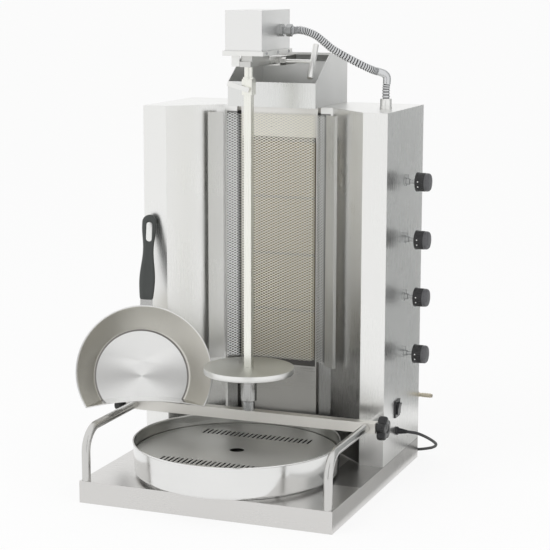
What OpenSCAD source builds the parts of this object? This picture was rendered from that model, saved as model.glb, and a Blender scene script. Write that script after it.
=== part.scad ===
// Counter-top vertical spit grill: four infrared gas burners behind a mesh guard, a motor-driven
// spit that slides towards them, a drip pan in front and a catch pan that leans on the left.
// Right is +X, back is +Y, up is +Z. The origin is the middle of the base tray's underside.

/* [Base tray] */
// Width of the whole body
body_w = 550; // [480:1:680]
// Depth of the base tray
body_d = 578; // [540:1:720]
// Height of the base tray
tray_h = 46; // [34:1:60]
// Thickness of the folded stainless sheet
sheet_t = 1.5; // [1:0.1:2]
// Width of the tray's turned-in bottom flanges
tray_flange = 18; // [12:1:30]

/* [Side housings] */
// Height of the two side housings above the tray
wing_h = 746; // [620:1:900]
// Distance of their front faces behind the origin
wing_face_y = 32; // [20:1:45]
// Width of each front face
wing_face_w = 53; // [40:1:64]
// Where the slanted inner wall ends, sideways
wing_bend_x = 124; // [118:1:135]
// Where the slanted inner wall ends, front to back
wing_bend_y = 125; // [120:1:130]
// Half width of the middle bay between the housings
bay_half = 96; // [94:1:98]

/* [Hood] */
// Width of the flue hood
hood_w = 200; // [198:1:220]
// Its front wall, behind the origin
hood_front_y = 85; // [75:1:90]
// Height of its front wall
hood_front_h = 53; // [40:1:65]
// Its ridge, behind the origin
hood_ridge_y = 175; // [168:1:190]
// Height of its ridge
hood_ridge_h = 113; // [112:1:122]
// Height of its back wall
hood_back_h = 90; // [84:1:98]
// Gap between the hood's back wall and the rear of the body
hood_back_gap = 3; // [2:1:8]

/* [Burners] */
// Distance from one burner to the next
burner_pitch = 123.5; // [122:0.5:150]
// Height of the lowest burner's middle above the tray
burner_first = 240.5; // [200:0.5:250]
// Width of a burner housing
burner_w = 170; // [150:1:180]
// Height of a burner housing
burner_h = 121; // [96:1:121]
// Depth of a burner housing
burner_depth = 36; // [30:1:44]
// Front of the burner panel, behind the origin
panel_y = 131; // [130:1:136]
// Thickness of a ceramic tile
tile_t = 12; // [10:1:14]
// How far a mixing tube lies below its burner's middle
tube_drop = 17.5; // [10:0.5:30]

/* [Mesh guard] */
// Width of the guard's middle face
guard_w = 175; // [160:1:180]
// Front of the middle face, behind the origin
guard_y = 122; // [112:1:124]
// How far its sides come forward
guard_fwd = 21; // [16:1:26]
// How far its sides reach outwards
guard_out = 30; // [24:1:34]
// Bottom of the guard above the tray
guard_low = 193; // [170:1:200]
// Height of the guard
guard_h = 539; // [500:1:548]
// Thickness of the expanded metal
guard_t = 1.2; // [1:0.1:2]
// Width of the solid strips that hold it
strip_w = 34; // [28:1:40]

/* [Spit] */
// The spit's axis, in front of the origin
spit_front = 42; // [30:1:50]
// Side of the square spit rod
rod_s = 16; // [12:0.5:18]
// Diameter of the meat disc
disc_d = 191; // [150:1:200]
// Thickness of the meat disc
disc_t = 13; // [8:1:16]
// Height of the disc's top above the cross bar
disc_over_bar = 93; // [80:1:120]
// Outer diameter of the sleeve under the disc
hub_d = 34; // [28:1:40]
// Diameter of the pin at the foot of the spit
pin_d = 10; // [8:0.5:12]
// Clearance all round a turning or sliding fit
fit_gap = 0.1; // [0.02:0.01:0.1]

/* [Rails and cross bar] */
// Diameter of the two rails
rail_d = 18; // [14:0.5:18]
// Distance of a rail's middle from the side of the body
rail_inset = 12; // [10:1:16]
// Height of the rails' middle above the tray
rail_rise = 106.5; // [100:0.5:125]
// Radius of the bend in a rail
rail_bend = 48; // [36:1:60]
// Side of the square cross bar
bar_s = 22; // [22:0.5:26]
// How far the bar runs past a rail's middle
bar_over = 21; // [16:1:24]
// Diameter of the clamp knobs on the bar
star_d = 52; // [40:1:56]
// Thickness of the clamp knobs
star_t = 19; // [14:1:22]

/* [Drive] */
// Width of the motor cover
motor_w = 80; // [70:1:90]
// Length of the motor cover
motor_l = 158; // [140:1:160]
// Height of the motor cover
motor_h = 90; // [76:1:110]
// How far the cover reaches in front of the spit's axis
motor_front = 29; // [24:1:34]
// Thickness of the cover's sheet
cover_t = 1.2; // [0.8:0.1:1.5]
// Width of the slide arm
arm_w = 24; // [22:1:30]
// Height of the slide arm
arm_h = 11; // [10:1:14]
// Height of the arm's underside above the housings
arm_over = 92; // [90:1:95]
// Length of the arm behind the spit's axis
arm_back = 198; // [190:1:200]
// Length of the clamp lever
clamp_l = 77; // [60:1:80]

/* [Drip pan] */
// Outer diameter of the drip pan at its rim
pan_d = 432; // [360:1:440]
// Height of the drip pan
pan_h = 72; // [60:1:76]
// How far the drip pan's middle lies in front of the spit
pan_front = 66; // [60:1:80]
// Thickness of the pan's sheet
pan_t = 1.2; // [0.8:0.1:1.5]
// Depth of the slotted plate below the rim
plate_drop = 25; // [15:1:30]
// Number of slots in each row of the plate
slot_count = 24; // [10:1:24]
// Length of a slot
slot_l = 34; // [20:1:40]

/* [Catch pan] */
// Outer diameter of the catch pan at its rim
catch_d = 289; // [240:1:294]
// Diameter of its flat bottom
catch_floor_d = 207; // [180:1:216]
// Depth of the catch pan
catch_h = 48; // [35:1:50]
// Length of its plastic handle
handle_l = 185; // [160:1:200]
// How far the catch pan leans back
catch_lean = 22; // [20:0.5:25]

/* [Gas and mains] */
// Diameter of a gas knob
knob_d = 41; // [36:1:44]
// Length of a gas knob
knob_l = 30; // [24:1:32]
// Free length of a valve stem outside the panel
stem_free = 27; // [20:1:30]
// Height of the switch bezel
switch_h = 37; // [34:1:44]
// Width of the switch bezel
switch_w = 32; // [26:1:34]
// Diameter of the mains lead
cord_d = 6.5; // [6:0.5:7.5]
// Outer diameter of the motor's conduit
conduit_d = 17; // [14:0.5:18]

/* [Hidden] */
$fn = 64;

// A hair that cutters run past the faces they open
eps = 0.5;
// Gap between pieces that move apart
seat_gap = 0.3;

// Main levels and planes
half_w = body_w / 2;
front_y = -body_d / 2;
back_y = body_d / 2;
wing_z = tray_h + wing_h;
wing_in_x = half_w - wing_face_w;
rear_in_y = back_y - sheet_t;
steel = [0.78, 0.78, 0.77];
bright = [0.9, 0.9, 0.88];
dark = [0.15, 0.15, 0.16];
brassy = [0.8, 0.65, 0.35];

// ---- helpers -------------------------------------------------------------------------------

function unit(v) = v / norm(v);
function left_of(a, b) = let (d = unit(b - a)) [-d[1], d[0]];
// Path moved sideways by t, with mitred corners
function beside(p, t) = [for (i = [0:len(p) - 1]) let (
        n = len(p) - 1,
        a = i == 0 ? left_of(p[0], p[1]) : left_of(p[i - 1], p[i]),
        b = i == n ? a : left_of(p[i], p[i + 1])
    ) p[i] + t * (a + b) / (1 + a * b)];
function backwards(p) = [for (i = [len(p) - 1:-1:0]) p[i]];

// Sheet of thickness t folded along a path on the ground plane, standing h high
module folded(p, t, h) {
    linear_extrude(height = h) polygon(concat(p, backwards(beside(p, t))));
}

// Box by its lowest and highest corners
module slab(a, b) { translate(a) cube(b - a); }

// Round bar or bore between two heights
module rod_z(x, y, z0, z1, d) { translate([x, y, z0]) cylinder(h = z1 - z0, d = d); }
module rod_x(x0, x1, y, z, d) { translate([x0, y, z]) rotate([0, 90, 0]) cylinder(h = x1 - x0, d = d); }
module rod_y(x, y0, y1, z, d) { translate([x, y0, z]) rotate([-90, 0, 0]) cylinder(h = y1 - y0, d = d); }
// Hexagon along X, across flats af
module hex_x(x0, x1, y, z, af) {
    translate([x0, y, z]) rotate([0, 90, 0]) cylinder(h = x1 - x0, d = af / cos(30), $fn = 6);
}

// Smooth curve through points: Catmull-Rom, n steps to each span
function along(p, n) = concat([for (i = [0:len(p) - 2], s = [0:n - 1]) let (
        a = p[max(i - 1, 0)], b = p[i], c = p[i + 1], d = p[min(i + 2, len(p) - 1)], t = s / n
    ) 0.5 * (2 * b + (c - a) * t + (2 * a - 5 * b + 4 * c - d) * t * t
        + (3 * b - a - 3 * c + d) * t * t * t)], [p[len(p) - 1]]);
function tangent(p, i) = unit(p[min(i + 1, len(p) - 1)] - p[max(i - 1, 0)]);
// Ring of s points, radius r, square to the path at point i; side is never along the path
function ring(p, i, r, s, side) = let (
        t = tangent(p, i), u = unit(cross(t, side)), v = cross(t, u)
    ) [for (k = [0:s - 1]) p[i] + r * (cos(360 * k / s) * u + sin(360 * k / s) * v)];
// Skin of a tube of n rings with s sides, numbered from point o; out faces outwards
function skin(n, s, o, out) = [for (i = [0:n - 2], k = [0:s - 1], h = [0, 1]) let (
        a = o + i * s + k, b = o + i * s + (k + 1) % s, c = a + s, d = b + s,
        f = h == 0 ? [a, c, b] : [b, c, d]
    ) out ? f : [f[0], f[2], f[1]]];
// Solid tube along a path
module cord_tube(p, r, s, side) {
    n = len(p);
    polyhedron(
        points = [for (i = [0:n - 1], q = ring(p, i, r, s, side)) q],
        faces = concat(skin(n, s, 0, true), [[for (k = [0:s - 1]) k]],
            [[for (k = [s - 1:-1:0]) (n - 1) * s + k]]));
}
// Hose along a path, with its own outside radius at each point and a bore
module hose(p, radii, bore, s, side) {
    n = len(p);
    outside = [for (i = [0:n - 1], q = ring(p, i, radii[i], s, side)) q];
    inside = [for (i = [0:n - 1], q = ring(p, i, bore, s, side)) q];
    lip = [for (k = [0:s - 1], e = [0, 1], h = [0, 1]) let (
            o = e * (n - 1) * s, m = n * s + o, a = o + k, b = o + (k + 1) % s, c = m + k, d = m + (k + 1) % s,
            f = h == 0 ? [a, b, c] : [b, d, c]
        ) e == 0 ? f : [f[0], f[2], f[1]]];
    polyhedron(points = concat(outside, inside),
        faces = concat(skin(n, s, 0, true), skin(n, s, n * s, false), lip));
}

// ---- base tray and housings ----------------------------------------------------------------

rail_x = half_w - rail_inset;
rail_z = tray_h + rail_rise;
rail_foot_y = front_y + rail_d / 2;
screw_d = 8;

module base_tray() {
    color(steel) difference() {
        slab([-half_w, front_y, 0], [half_w, back_y, tray_h]);
        slab([-half_w + sheet_t, front_y + sheet_t, sheet_t], [half_w - sheet_t, back_y - sheet_t, tray_h - sheet_t]);
        slab([-half_w + tray_flange, front_y + tray_flange, -eps],
            [half_w - tray_flange, back_y - tray_flange, sheet_t + eps]);
        for (s = [-1, 1]) rod_z(s * rail_x, rail_foot_y, tray_h - sheet_t - eps, tray_h + eps, screw_d);
    }
}

// Right housing's outline, from the rear of the bay round to the rear of the side
wing_path = [[bay_half, rear_in_y], [bay_half, wing_bend_y + 2], [wing_bend_x, wing_bend_y],
    [wing_in_x, wing_face_y], [half_w, wing_face_y], [half_w, rear_in_y]];

// Gas controls on the right side
knob_y = 155;
function burner_z(i) = tray_h + burner_first + burner_pitch * i;
function knob_z(i) = burner_z(i) - tube_drop;
stem_d = 8;
stem_hole = 9;
tube_d = 30;
tube_hole = 34;
tube_y = panel_y + burner_depth / 2 + 1;
// Mains controls below them
mains_y = 124;
switch_z = 153;
gland_z = 103;
gland_hole = 12;
switch_cut_w = switch_w - 8;
switch_cut_h = switch_h - 8;

module wing_shell() {
    folded(wing_path, sheet_t, wing_h);
    // Lid, welded on
    translate([0, 0, wing_h - sheet_t]) linear_extrude(height = sheet_t) polygon(wing_path);
    // Flanges that the rear panel is screwed to
    slab([bay_half, rear_in_y - sheet_t, 0], [bay_half + 14, rear_in_y, wing_h]);
    slab([half_w - 14, rear_in_y - sheet_t, 0], [half_w, rear_in_y, wing_h]);
}

module rail_screw_holes() {
    for (s = [-1, 1]) rod_y(s * rail_x, wing_face_y - eps, wing_face_y + sheet_t + eps, rail_z, screw_d);
}

module wing_left() {
    color(steel) difference() {
        mirror([1, 0, 0]) translate([0, 0, tray_h]) wing_shell();
        rail_screw_holes();
        rear_screw_holes();
    }
}

module wing_right() {
    color(steel) difference() {
        translate([0, 0, tray_h]) wing_shell();
        rail_screw_holes();
        rear_screw_holes();
        for (i = [0:3]) {
            rod_x(half_w - sheet_t - eps, half_w + eps, knob_y, knob_z(i), stem_hole);
            rod_x(bay_half - eps, bay_half + sheet_t + eps, tube_y, knob_z(i), tube_hole);
        }
        rod_x(half_w - sheet_t - eps, half_w + eps, mains_y, gland_z, gland_hole);
        slab([half_w - sheet_t - eps, mains_y - switch_cut_w / 2, switch_z - switch_cut_h / 2],
            [half_w + eps, mains_y + switch_cut_w / 2, switch_z + switch_cut_h / 2]);
        rod_z(socket_x, socket_y, wing_z - sheet_t - eps, wing_z + eps, socket_hole);
    }
}

// Screws that hold the rear panel, two columns at each side
rear_screw_d = 4;
rear_screw_rows = 4;
rear_screw_x = [bay_half + 8, half_w - 8];
function rear_screw_z(i) = tray_h + 60 + i * (wing_h - 120) / (rear_screw_rows - 1);
module rear_screw_holes() {
    for (s = [-1, 1], x = rear_screw_x, i = [0:rear_screw_rows - 1])
        rod_y(s * x, rear_in_y - sheet_t - eps, back_y + eps, rear_screw_z(i), rear_screw_d);
}

// Gas inlet at the rear right
inlet_x = half_w - 25;
inlet_z = 141;
manifold_d = 16;
manifold_y = knob_y + 23;
inlet_d = 14;
vent_w = 6;
vent_l = 110;

module rear_panel() {
    color(steel) difference() {
        slab([-half_w, rear_in_y, tray_h], [half_w, back_y, wing_z]);
        rear_screw_holes();
        rod_y(inlet_x, rear_in_y - eps, back_y + eps, inlet_z, inlet_d + 2);
        // Cooling slots behind the burners and in the right housing
        for (i = [0:7], x = [-60, 60])
            slab([x - vent_l / 2 + 4, rear_in_y - eps, tray_h + 60 + 16 * i],
                [x + vent_l / 2 - 4, back_y + eps, tray_h + 60 + vent_w + 16 * i]);
    }
}

// The panel stops short of the housings and is fixed to them by flanges behind the slots
panel_slot = 8;
panel_half = bay_half - panel_slot;
panel_back = 20;
module burner_panel() {
    color(bright) difference() {
        translate([0, 0, tray_h]) union() {
            slab([-panel_half, panel_y, 0], [panel_half, panel_y + sheet_t, wing_h]);
            for (m = [0, 1]) mirror([m, 0, 0]) folded([[bay_half, panel_y + panel_back], [panel_half, panel_y + panel_back],
                [panel_half, panel_y]], -sheet_t, wing_h);
        }
        for (i = [0:3]) slab([-burner_w / 2, panel_y - eps, burner_z(i) - burner_h / 2],
            [burner_w / 2, panel_y + sheet_t + eps, burner_z(i) + burner_h / 2]);
        for (i = [0:3]) rod_x(panel_half - sheet_t - eps, bay_half + eps, tube_y, knob_z(i), tube_hole);
    }
}

// ---- hood ----------------------------------------------------------------------------------

hood_back_y = back_y - hood_back_gap;
// Side of the hood as (y, height above the housings)
hood_side = [[hood_front_y, 0], [hood_front_y, hood_front_h], [hood_ridge_y, hood_ridge_h],
    [hood_back_y, hood_back_h], [hood_back_y, 0]];
roof_dir = unit([hood_back_y - hood_ridge_y, hood_back_h - hood_ridge_h]);
// Height of the roof's underside above the housings at a depth y
function roof_under(y) = hood_ridge_h + (y - hood_ridge_y) * roof_dir[1] / roof_dir[0] - sheet_t / roof_dir[0];
ridge_lip = 5;

// Prism along X from an outline in (y, z)
module along_x(outline, x0, x1) {
    translate([x0, 0, 0]) rotate([90, 0, 90]) linear_extrude(height = x1 - x0) polygon(outline);
}

module hood() {
    color(steel) translate([0, 0, wing_z]) {
        for (s = [0, 1]) along_x(hood_side, s * (hood_w - sheet_t) - hood_w / 2,
            s * (hood_w - sheet_t) - hood_w / 2 + sheet_t);
        // Front wall, roof with the lip along its ridge, and back wall
        slab([-hood_w / 2, hood_front_y, 0], [hood_w / 2, hood_front_y + sheet_t, hood_front_h]);
        along_x([[hood_ridge_y, hood_ridge_h], [hood_back_y, hood_back_h],
            [hood_back_y, roof_under(hood_back_y)], [hood_ridge_y, roof_under(hood_ridge_y)]],
            -hood_w / 2, hood_w / 2);
        slab([-hood_w / 2, hood_ridge_y, hood_ridge_h - ridge_lip],
            [hood_w / 2, hood_ridge_y + sheet_t, hood_ridge_h - sheet_t / 2]);
        slab([-hood_w / 2, hood_back_y - sheet_t, 0], [hood_w / 2, hood_back_y, hood_back_h - sheet_t / 3]);
    }
}

// ---- mesh guard ----------------------------------------------------------------------------

guard_z = tray_h + guard_low;
guard_in_x = guard_w / 2;
side_from = [guard_in_x + 0.1, guard_y];
side_to = [guard_in_x + guard_out, guard_y - guard_fwd];
side_l = norm(side_to - side_from);
side_a = atan2(side_to[1] - side_from[1], side_to[0] - side_from[0]);
strip_dir = unit([24, -19]);
strip_fold = side_to + 12 * strip_dir;
strip_to = side_to + strip_w * strip_dir;
// The diamonds are twice the size of the real ones, to keep the mesh light
diamond_w = 22;
diamond_h = 13;
diamond_bar = 2.6;
diamond_rows = floor((guard_h - 8) / diamond_h);

// Flat sheet of expanded metal, w wide, standing with its lower left corner at the origin
module expanded(w) {
    cols = floor((w - 5) / diamond_w);
    x0 = w / 2 - (cols - 1) / 2 * diamond_w;
    z0 = guard_h / 2 - (diamond_rows - 1) / 2 * diamond_h;
    translate([0, guard_t, 0]) rotate([90, 0, 0]) linear_extrude(height = guard_t) difference() {
        square([w, guard_h]);
        for (i = [0:cols - 1], j = [0:diamond_rows - 1]) translate([x0 + i * diamond_w, z0 + j * diamond_h])
            polygon([[diamond_bar / 2 - diamond_w / 2, 0], [0, diamond_bar / 2 - diamond_h / 2],
                [diamond_w / 2 - diamond_bar / 2, 0], [0, diamond_h / 2 - diamond_bar / 2]]);
    }
}

module mesh_guard() {
    color(bright) translate([0, 0, guard_z]) {
        translate([-guard_in_x, guard_y, 0]) expanded(guard_w);
        for (m = [0, 1]) mirror([m, 0, 0]) translate([side_from[0], side_from[1], 0])
            rotate([0, 0, side_a]) expanded(side_l - 0.3);
    }
}

module guard_strips() {
    color(steel) for (m = [0, 1]) mirror([m, 0, 0]) translate([0, 0, guard_z - 2])
        folded([side_to, strip_fold, strip_to, strip_to + [4, 6]], guard_t, guard_h + 2);
}

// ---- burners and gas -----------------------------------------------------------------------

tile_gap = 0.5;
tile_w = (burner_w - 4 - tile_gap) / 2;
burner_wall = 1.5;
tile_h = burner_h - 2 * burner_wall - 0.8;
tube_end = bay_half + 54;

module burner(i) {
    z = burner_z(i);
    color("dimgray") difference() {
        union() {
            slab([-burner_w / 2, panel_y, z - burner_h / 2], [burner_w / 2, panel_y + burner_depth, z + burner_h / 2]);
            rod_x(burner_w / 2 - 2, tube_end, tube_y, knob_z(i), tube_d);
        }
        slab([-burner_w / 2 + burner_wall, panel_y - eps, z - burner_h / 2 + burner_wall],
            [burner_w / 2 - burner_wall, panel_y + burner_depth - burner_wall, z + burner_h / 2 - burner_wall]);
        rod_x(burner_w / 2 - 3, tube_end + eps, tube_y, knob_z(i), tube_d - 2 * burner_wall);
    }
    // Ledge behind the tiles
    color("dimgray") difference() {
        slab([-burner_w / 2 + burner_wall, panel_y + tile_t, z - burner_h / 2 + burner_wall],
            [burner_w / 2 - burner_wall, panel_y + tile_t + 1.5, z + burner_h / 2 - burner_wall]);
        slab([-burner_w / 2 + 8, panel_y + tile_t - eps, z - burner_h / 2 + 8],
            [burner_w / 2 - 8, panel_y + tile_t + 2, z + burner_h / 2 - 8]);
    }
}

module burner_tiles() {
    color([0.93, 0.87, 0.7]) for (i = [0:3], s = [0, 1]) mirror([s, 0, 0])
        slab([tile_gap / 2, panel_y, burner_z(i) - tile_h / 2],
            [tile_gap / 2 + tile_w, panel_y + tile_t, burner_z(i) + tile_h / 2]);
}

valve_x0 = half_w - 46;
valve_x1 = half_w - sheet_t;
valve_half = 12;
manifold_top = knob_z(3) + 24;
nozzle_tip = 7;

module gas_manifold() {
    color(brassy) {
        rod_z(inlet_x, manifold_y, inlet_z, manifold_top, manifold_d);
        translate([inlet_x, manifold_y, inlet_z]) sphere(d = manifold_d + 3);
        rod_y(inlet_x, manifold_y, back_y, inlet_z, inlet_d);
    }
}

module gas_valves() {
    color(brassy) for (i = [0:3]) difference() {
        union() {
            slab([valve_x0, knob_y - valve_half, knob_z(i) - valve_half],
                [valve_x1, manifold_y, knob_z(i) + valve_half]);
            rod_x(valve_x0 - 10, valve_x0 + 2, knob_y, knob_z(i), 12);
        }
        rod_z(inlet_x, manifold_y, knob_z(i) - 14, knob_z(i) + 14, manifold_d + 0.02);
        rod_x(valve_x1 - 20, valve_x1 + eps, knob_y, knob_z(i), stem_d + 2 * fit_gap);
    }
}

// Supply pipe and brass tip that blows into the mixing tube
module injectors() {
    color(brassy) for (i = [0:3]) {
        hull() {
            rod_x(valve_x0 - 11, valve_x0 - 10, knob_y, knob_z(i), 8, $fn = 24);
            rod_x(tube_end + 12, tube_end + 13, tube_y, knob_z(i), 8, $fn = 24);
        }
        rod_x(tube_end - 2, tube_end + 13, tube_y, knob_z(i), nozzle_tip);
    }
}

elbow_s = 20;
nozzle_d = 10;
nozzle_reach = 28;
nozzle_y = back_y + elbow_s / 2 + 2;
nozzle_stop = 13;

module gas_inlet() {
    color(brassy) {
        slab([inlet_x - elbow_s / 2, back_y + 2, inlet_z - elbow_s / 2],
            [inlet_x + elbow_s / 2, back_y + 2 + elbow_s, inlet_z + elbow_s / 2]);
        translate([inlet_x, back_y, inlet_z]) rotate([-90, 0, 0]) cylinder(h = 2, d = 24 / cos(30), $fn = 6);
    }
}

module gas_nozzle() {
    x0 = inlet_x + elbow_s / 2;
    color(brassy) difference() {
        union() {
            hex_x(x0, x0 + 8, nozzle_y, inlet_z, 15);
            rod_x(x0 + 8, half_w + nozzle_reach, nozzle_y, inlet_z, nozzle_d);
            rod_x(x0 + 8, x0 + 12, nozzle_y, inlet_z, nozzle_stop);
        }
        rod_x(x0 + 4, half_w + nozzle_reach + eps, nozzle_y, inlet_z, 6);
    }
}

knob_x = half_w + stem_free;
module panel_nuts() {
    color("silver") for (i = [0:3]) difference() {
        union() {
            hex_x(half_w, half_w + 5, knob_y, knob_z(i), 17);
            rod_x(half_w + 5, half_w + 12, knob_y, knob_z(i), 13);
            // Index tab that the knob's mark is read against
            slab([half_w, knob_y - 2, knob_z(i) + 6], [half_w + 9, knob_y + 2, knob_z(i) + 15]);
        }
        rod_x(half_w - eps, half_w + 13, knob_y, knob_z(i), stem_hole);
    }
}

module valve_stem(i) {
    color("silver") rod_x(valve_x1 - 14, knob_x + 10, knob_y, knob_z(i), stem_d);
}

knob_skirt = 5;
knob_flutes = 16;
module knob(i) {
    color(dark) translate([knob_x, knob_y, knob_z(i)]) rotate([90, 0, 90]) difference() {
        union() {
            cylinder(h = knob_skirt, d = knob_d);
            cylinder(h = knob_l - 6, d = knob_d - 2);
            translate([0, 0, knob_l - 6]) cylinder(h = 4, d1 = knob_d - 2, d2 = knob_d - 5);
            translate([0, 0, knob_l - 2]) cylinder(h = 2, d1 = knob_d - 5, d2 = knob_d - 10);
        }
        translate([0, 0, -eps]) cylinder(h = 10 + eps, d = stem_d + 0.02);
        for (k = [0:knob_flutes - 1]) rotate(k * 360 / knob_flutes)
            translate([knob_d / 2 + 0.4, 0, knob_skirt]) cylinder(h = knob_l - 12, d = 4, $fn = 24);
    }
}

// ---- switch, gland and mains lead ----------------------------------------------------------

module switch_bezel() {
    color(dark) difference() {
        union() {
            slab([half_w, mains_y - switch_w / 2, switch_z - switch_h / 2],
                [half_w + 3, mains_y + switch_w / 2, switch_z + switch_h / 2]);
            slab([half_w - 24, mains_y - switch_cut_w / 2, switch_z - switch_cut_h / 2],
                [half_w + 1, mains_y + switch_cut_w / 2, switch_z + switch_cut_h / 2]);
        }
        slab([half_w - 10, mains_y - switch_cut_w / 2 + 2, switch_z - switch_cut_h / 2 + 2],
            [half_w + 4, mains_y + switch_cut_w / 2 - 2, switch_z + switch_cut_h / 2 - 2]);
        rod_y(half_w + 1, mains_y - rocker_pin_l / 2 - seat_gap, mains_y + rocker_pin_l / 2 + seat_gap, switch_z,
            rocker_pin_d + 2 * fit_gap);
    }
}

rocker_tilt = 8;
rocker_l = switch_cut_h - 6;
rocker_w = switch_cut_w - 5;
rocker_pin_d = 3;
rocker_pin_l = switch_cut_w - 2;
module switch_rocker() {
    color([0.08, 0.08, 0.09]) {
        translate([half_w + 1, mains_y, switch_z]) rotate([0, rocker_tilt, 0]) translate([0, rocker_w / 2, 0])
            rotate([90, 0, 0]) linear_extrude(height = rocker_w) polygon([[-7, -4], [0, -rocker_l / 2],
                [7, -rocker_l / 2], [5.5, 0], [7, rocker_l / 2], [0, rocker_l / 2], [-7, 4]]);
        // Pins that it rocks on
        rod_y(half_w + 1, mains_y - rocker_pin_l / 2, mains_y + rocker_pin_l / 2, switch_z, rocker_pin_d);
    }
}

gland_flange = 4;
gland_l = 24;
module cord_gland() {
    color(dark) difference() {
        union() {
            rod_x(half_w - 6, half_w + gland_flange, mains_y, gland_z, gland_hole);
            rod_x(half_w, half_w + gland_flange, mains_y, gland_z, 18);
            translate([half_w + gland_flange, mains_y, gland_z]) rotate([0, 90, 0])
                cylinder(h = gland_l - gland_flange, d1 = 14, d2 = cord_d + 2);
        }
        rod_x(half_w - 6 - eps, half_w + gland_l - 8, mains_y, gland_z, cord_d + 2 * fit_gap);
    }
}

// Mains lead: straight out of the gland, down to the table and round behind the body
cord_lie = cord_d / 2 + 0.1;
cord_route = [[299.5, 124, gland_z], [303, 124, gland_z], [310, 128, 101.5], [318, 137, 98], [326, 158, 88], [331, 185, 75], [333, 212, 62],
    [331, 240, 49], [324, 262, 38], [312, 281, 28], [296, 296, 20], [276, 307, 13], [252, 315, 8],
    [225, 322, 4.5], [200, 327, cord_lie], [175, 331, cord_lie], [150, 334, cord_lie], [125, 336, cord_lie],
    [105, 336, cord_lie], [85, 336, cord_lie], [75, 336, cord_lie]];
cord_end = cord_route[len(cord_route) - 1];

// Coil behind the body: three turns in, half a turn up a layer, three turns out
coil_turn = 7.7;
coil_mid = 5.5 * cord_d;
coil_layer = 3;
coil_out = coil_mid + coil_layer * coil_turn / 2;
coil_at = [cord_end[0] - cord_d, cord_end[1] + coil_out];
coil_rise = 7.7;
coil_steps = 24;
coil_total = 2 * coil_layer + 0.5;
function coil_r(t) = t <= coil_layer ? coil_out - coil_turn * t
    : t <= coil_layer + 0.5 ? coil_out - coil_turn * coil_layer
    : coil_out - coil_turn * (coil_total - t);
function coil_z(t) = cord_lie + coil_rise * min(1, max(0, (t - coil_layer) * 2));
function coil_p(t) = [coil_at[0] + coil_r(t) * cos(-90 - 360 * t), coil_at[1] + coil_r(t) * sin(-90 - 360 * t),
    coil_z(t)];
// It leaves the last turn straight, rising to the plug that lies beside the coil
plug_d = 36;
plug_z = plug_d / 2 + 0.1;
coil_leave = coil_p(coil_total);
leave_dir = [1, 0, 0];
coil_points = concat([cord_end],
    [for (i = [0:coil_steps * coil_total]) coil_p(i / coil_steps)],
    [for (i = [1:6]) coil_leave + i * 7 * leave_dir
        + [0, 0, (plug_z - coil_leave[2]) * (1 - cos(min(i / 4, 1) * 180)) / 2]]);

// Least gap between turns of the coil, printed on every run
coil_gap = min([for (i = [1:len(coil_points) - 1 - coil_steps / 2], j = [i + coil_steps / 2:len(coil_points) - 1])
    norm(coil_points[i] - coil_points[j])]) - cord_d;
echo(coil_gap = coil_gap);

module mains_cord() { color(dark) cord_tube(along(cord_route, 2), cord_d / 2, 8, [0, 0, 1]); }
module mains_coil() { color(dark) cord_tube(coil_points, cord_d / 2, 6, [0, 0, 1]); }

plug_at = coil_points[len(coil_points) - 1];
plug_pin_d = 4.8;
plug_pin_l = 19;
plug_pitch = 19;
module mains_plug() {
    color(dark) translate(plug_at) rotate([0, 90, 0]) {
        cylinder(h = 22, d1 = cord_d + 3, d2 = 16);
        translate([0, 0, 22]) cylinder(h = 10, d1 = 16, d2 = plug_d);
        translate([0, 0, 32]) cylinder(h = 16, d = plug_d);
        for (s = [-1, 1]) translate([0, s * plug_pitch / 2, 47]) cylinder(h = 1 + plug_pin_l, d = plug_pin_d);
    }
}

// ---- drive ---------------------------------------------------------------------------------

spit_y = -spit_front;
arm_z = wing_z + arm_over;
pad_h = 12;
drive_z = arm_z + arm_h + pad_h;
motor_y0 = spit_y - motor_front;
motor_y1 = motor_y0 + motor_l;
tray_lip = 10;
lip_gap = 3;
shaft_d = 18;
cover_z = drive_z + cover_t;

module motor_tray() {
    x = motor_w / 2 + lip_gap + cover_t;
    color(bright) difference() {
        union() {
            difference() {
                slab([-x, motor_y0 - lip_gap - cover_t, drive_z], [x, motor_y1 + lip_gap + cover_t, drive_z + tray_lip]);
                slab([-x + cover_t, motor_y0 - lip_gap, cover_z],
                    [x - cover_t, motor_y1 + lip_gap, drive_z + tray_lip + eps]);
            }
            // Lug folded down beside the arm
            slab([-arm_w / 2 - 18, motor_y0 + 10, drive_z - 22], [-arm_w / 2 - 1, motor_y0 + 12, drive_z]);
        }
        rod_z(0, spit_y, drive_z - eps, cover_z + eps, shaft_d + 2);
    }
}

gland_y = spit_y + 76;
gland_up = 48;
module motor_cover() {
    color(bright) difference() {
        slab([-motor_w / 2, motor_y0, cover_z], [motor_w / 2, motor_y1, cover_z + motor_h]);
        slab([-motor_w / 2 + cover_t, motor_y0 + cover_t, cover_z - eps],
            [motor_w / 2 - cover_t, motor_y1 - cover_t, cover_z + motor_h - cover_t]);
        rod_x(motor_w / 2 - cover_t - eps, motor_w / 2 + eps, gland_y, cover_z + gland_up, 14);
    }
}

module gearmotor() {
    color("slategray") {
        difference() {
            slab([-28, motor_y0 + cover_t + 2, cover_z], [28, motor_y0 + 66, cover_z + 34]);
            rod_z(0, spit_y, cover_z - eps, cover_z + 20, shaft_d + 2 * fit_gap);
        }
        rod_y(0, motor_y0 + 66, motor_y1 - cover_t - 20, cover_z + 27, 52);
        slab([-20, motor_y0 + 70, cover_z], [20, motor_y0 + 100, cover_z + 10]);
    }
}

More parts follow.
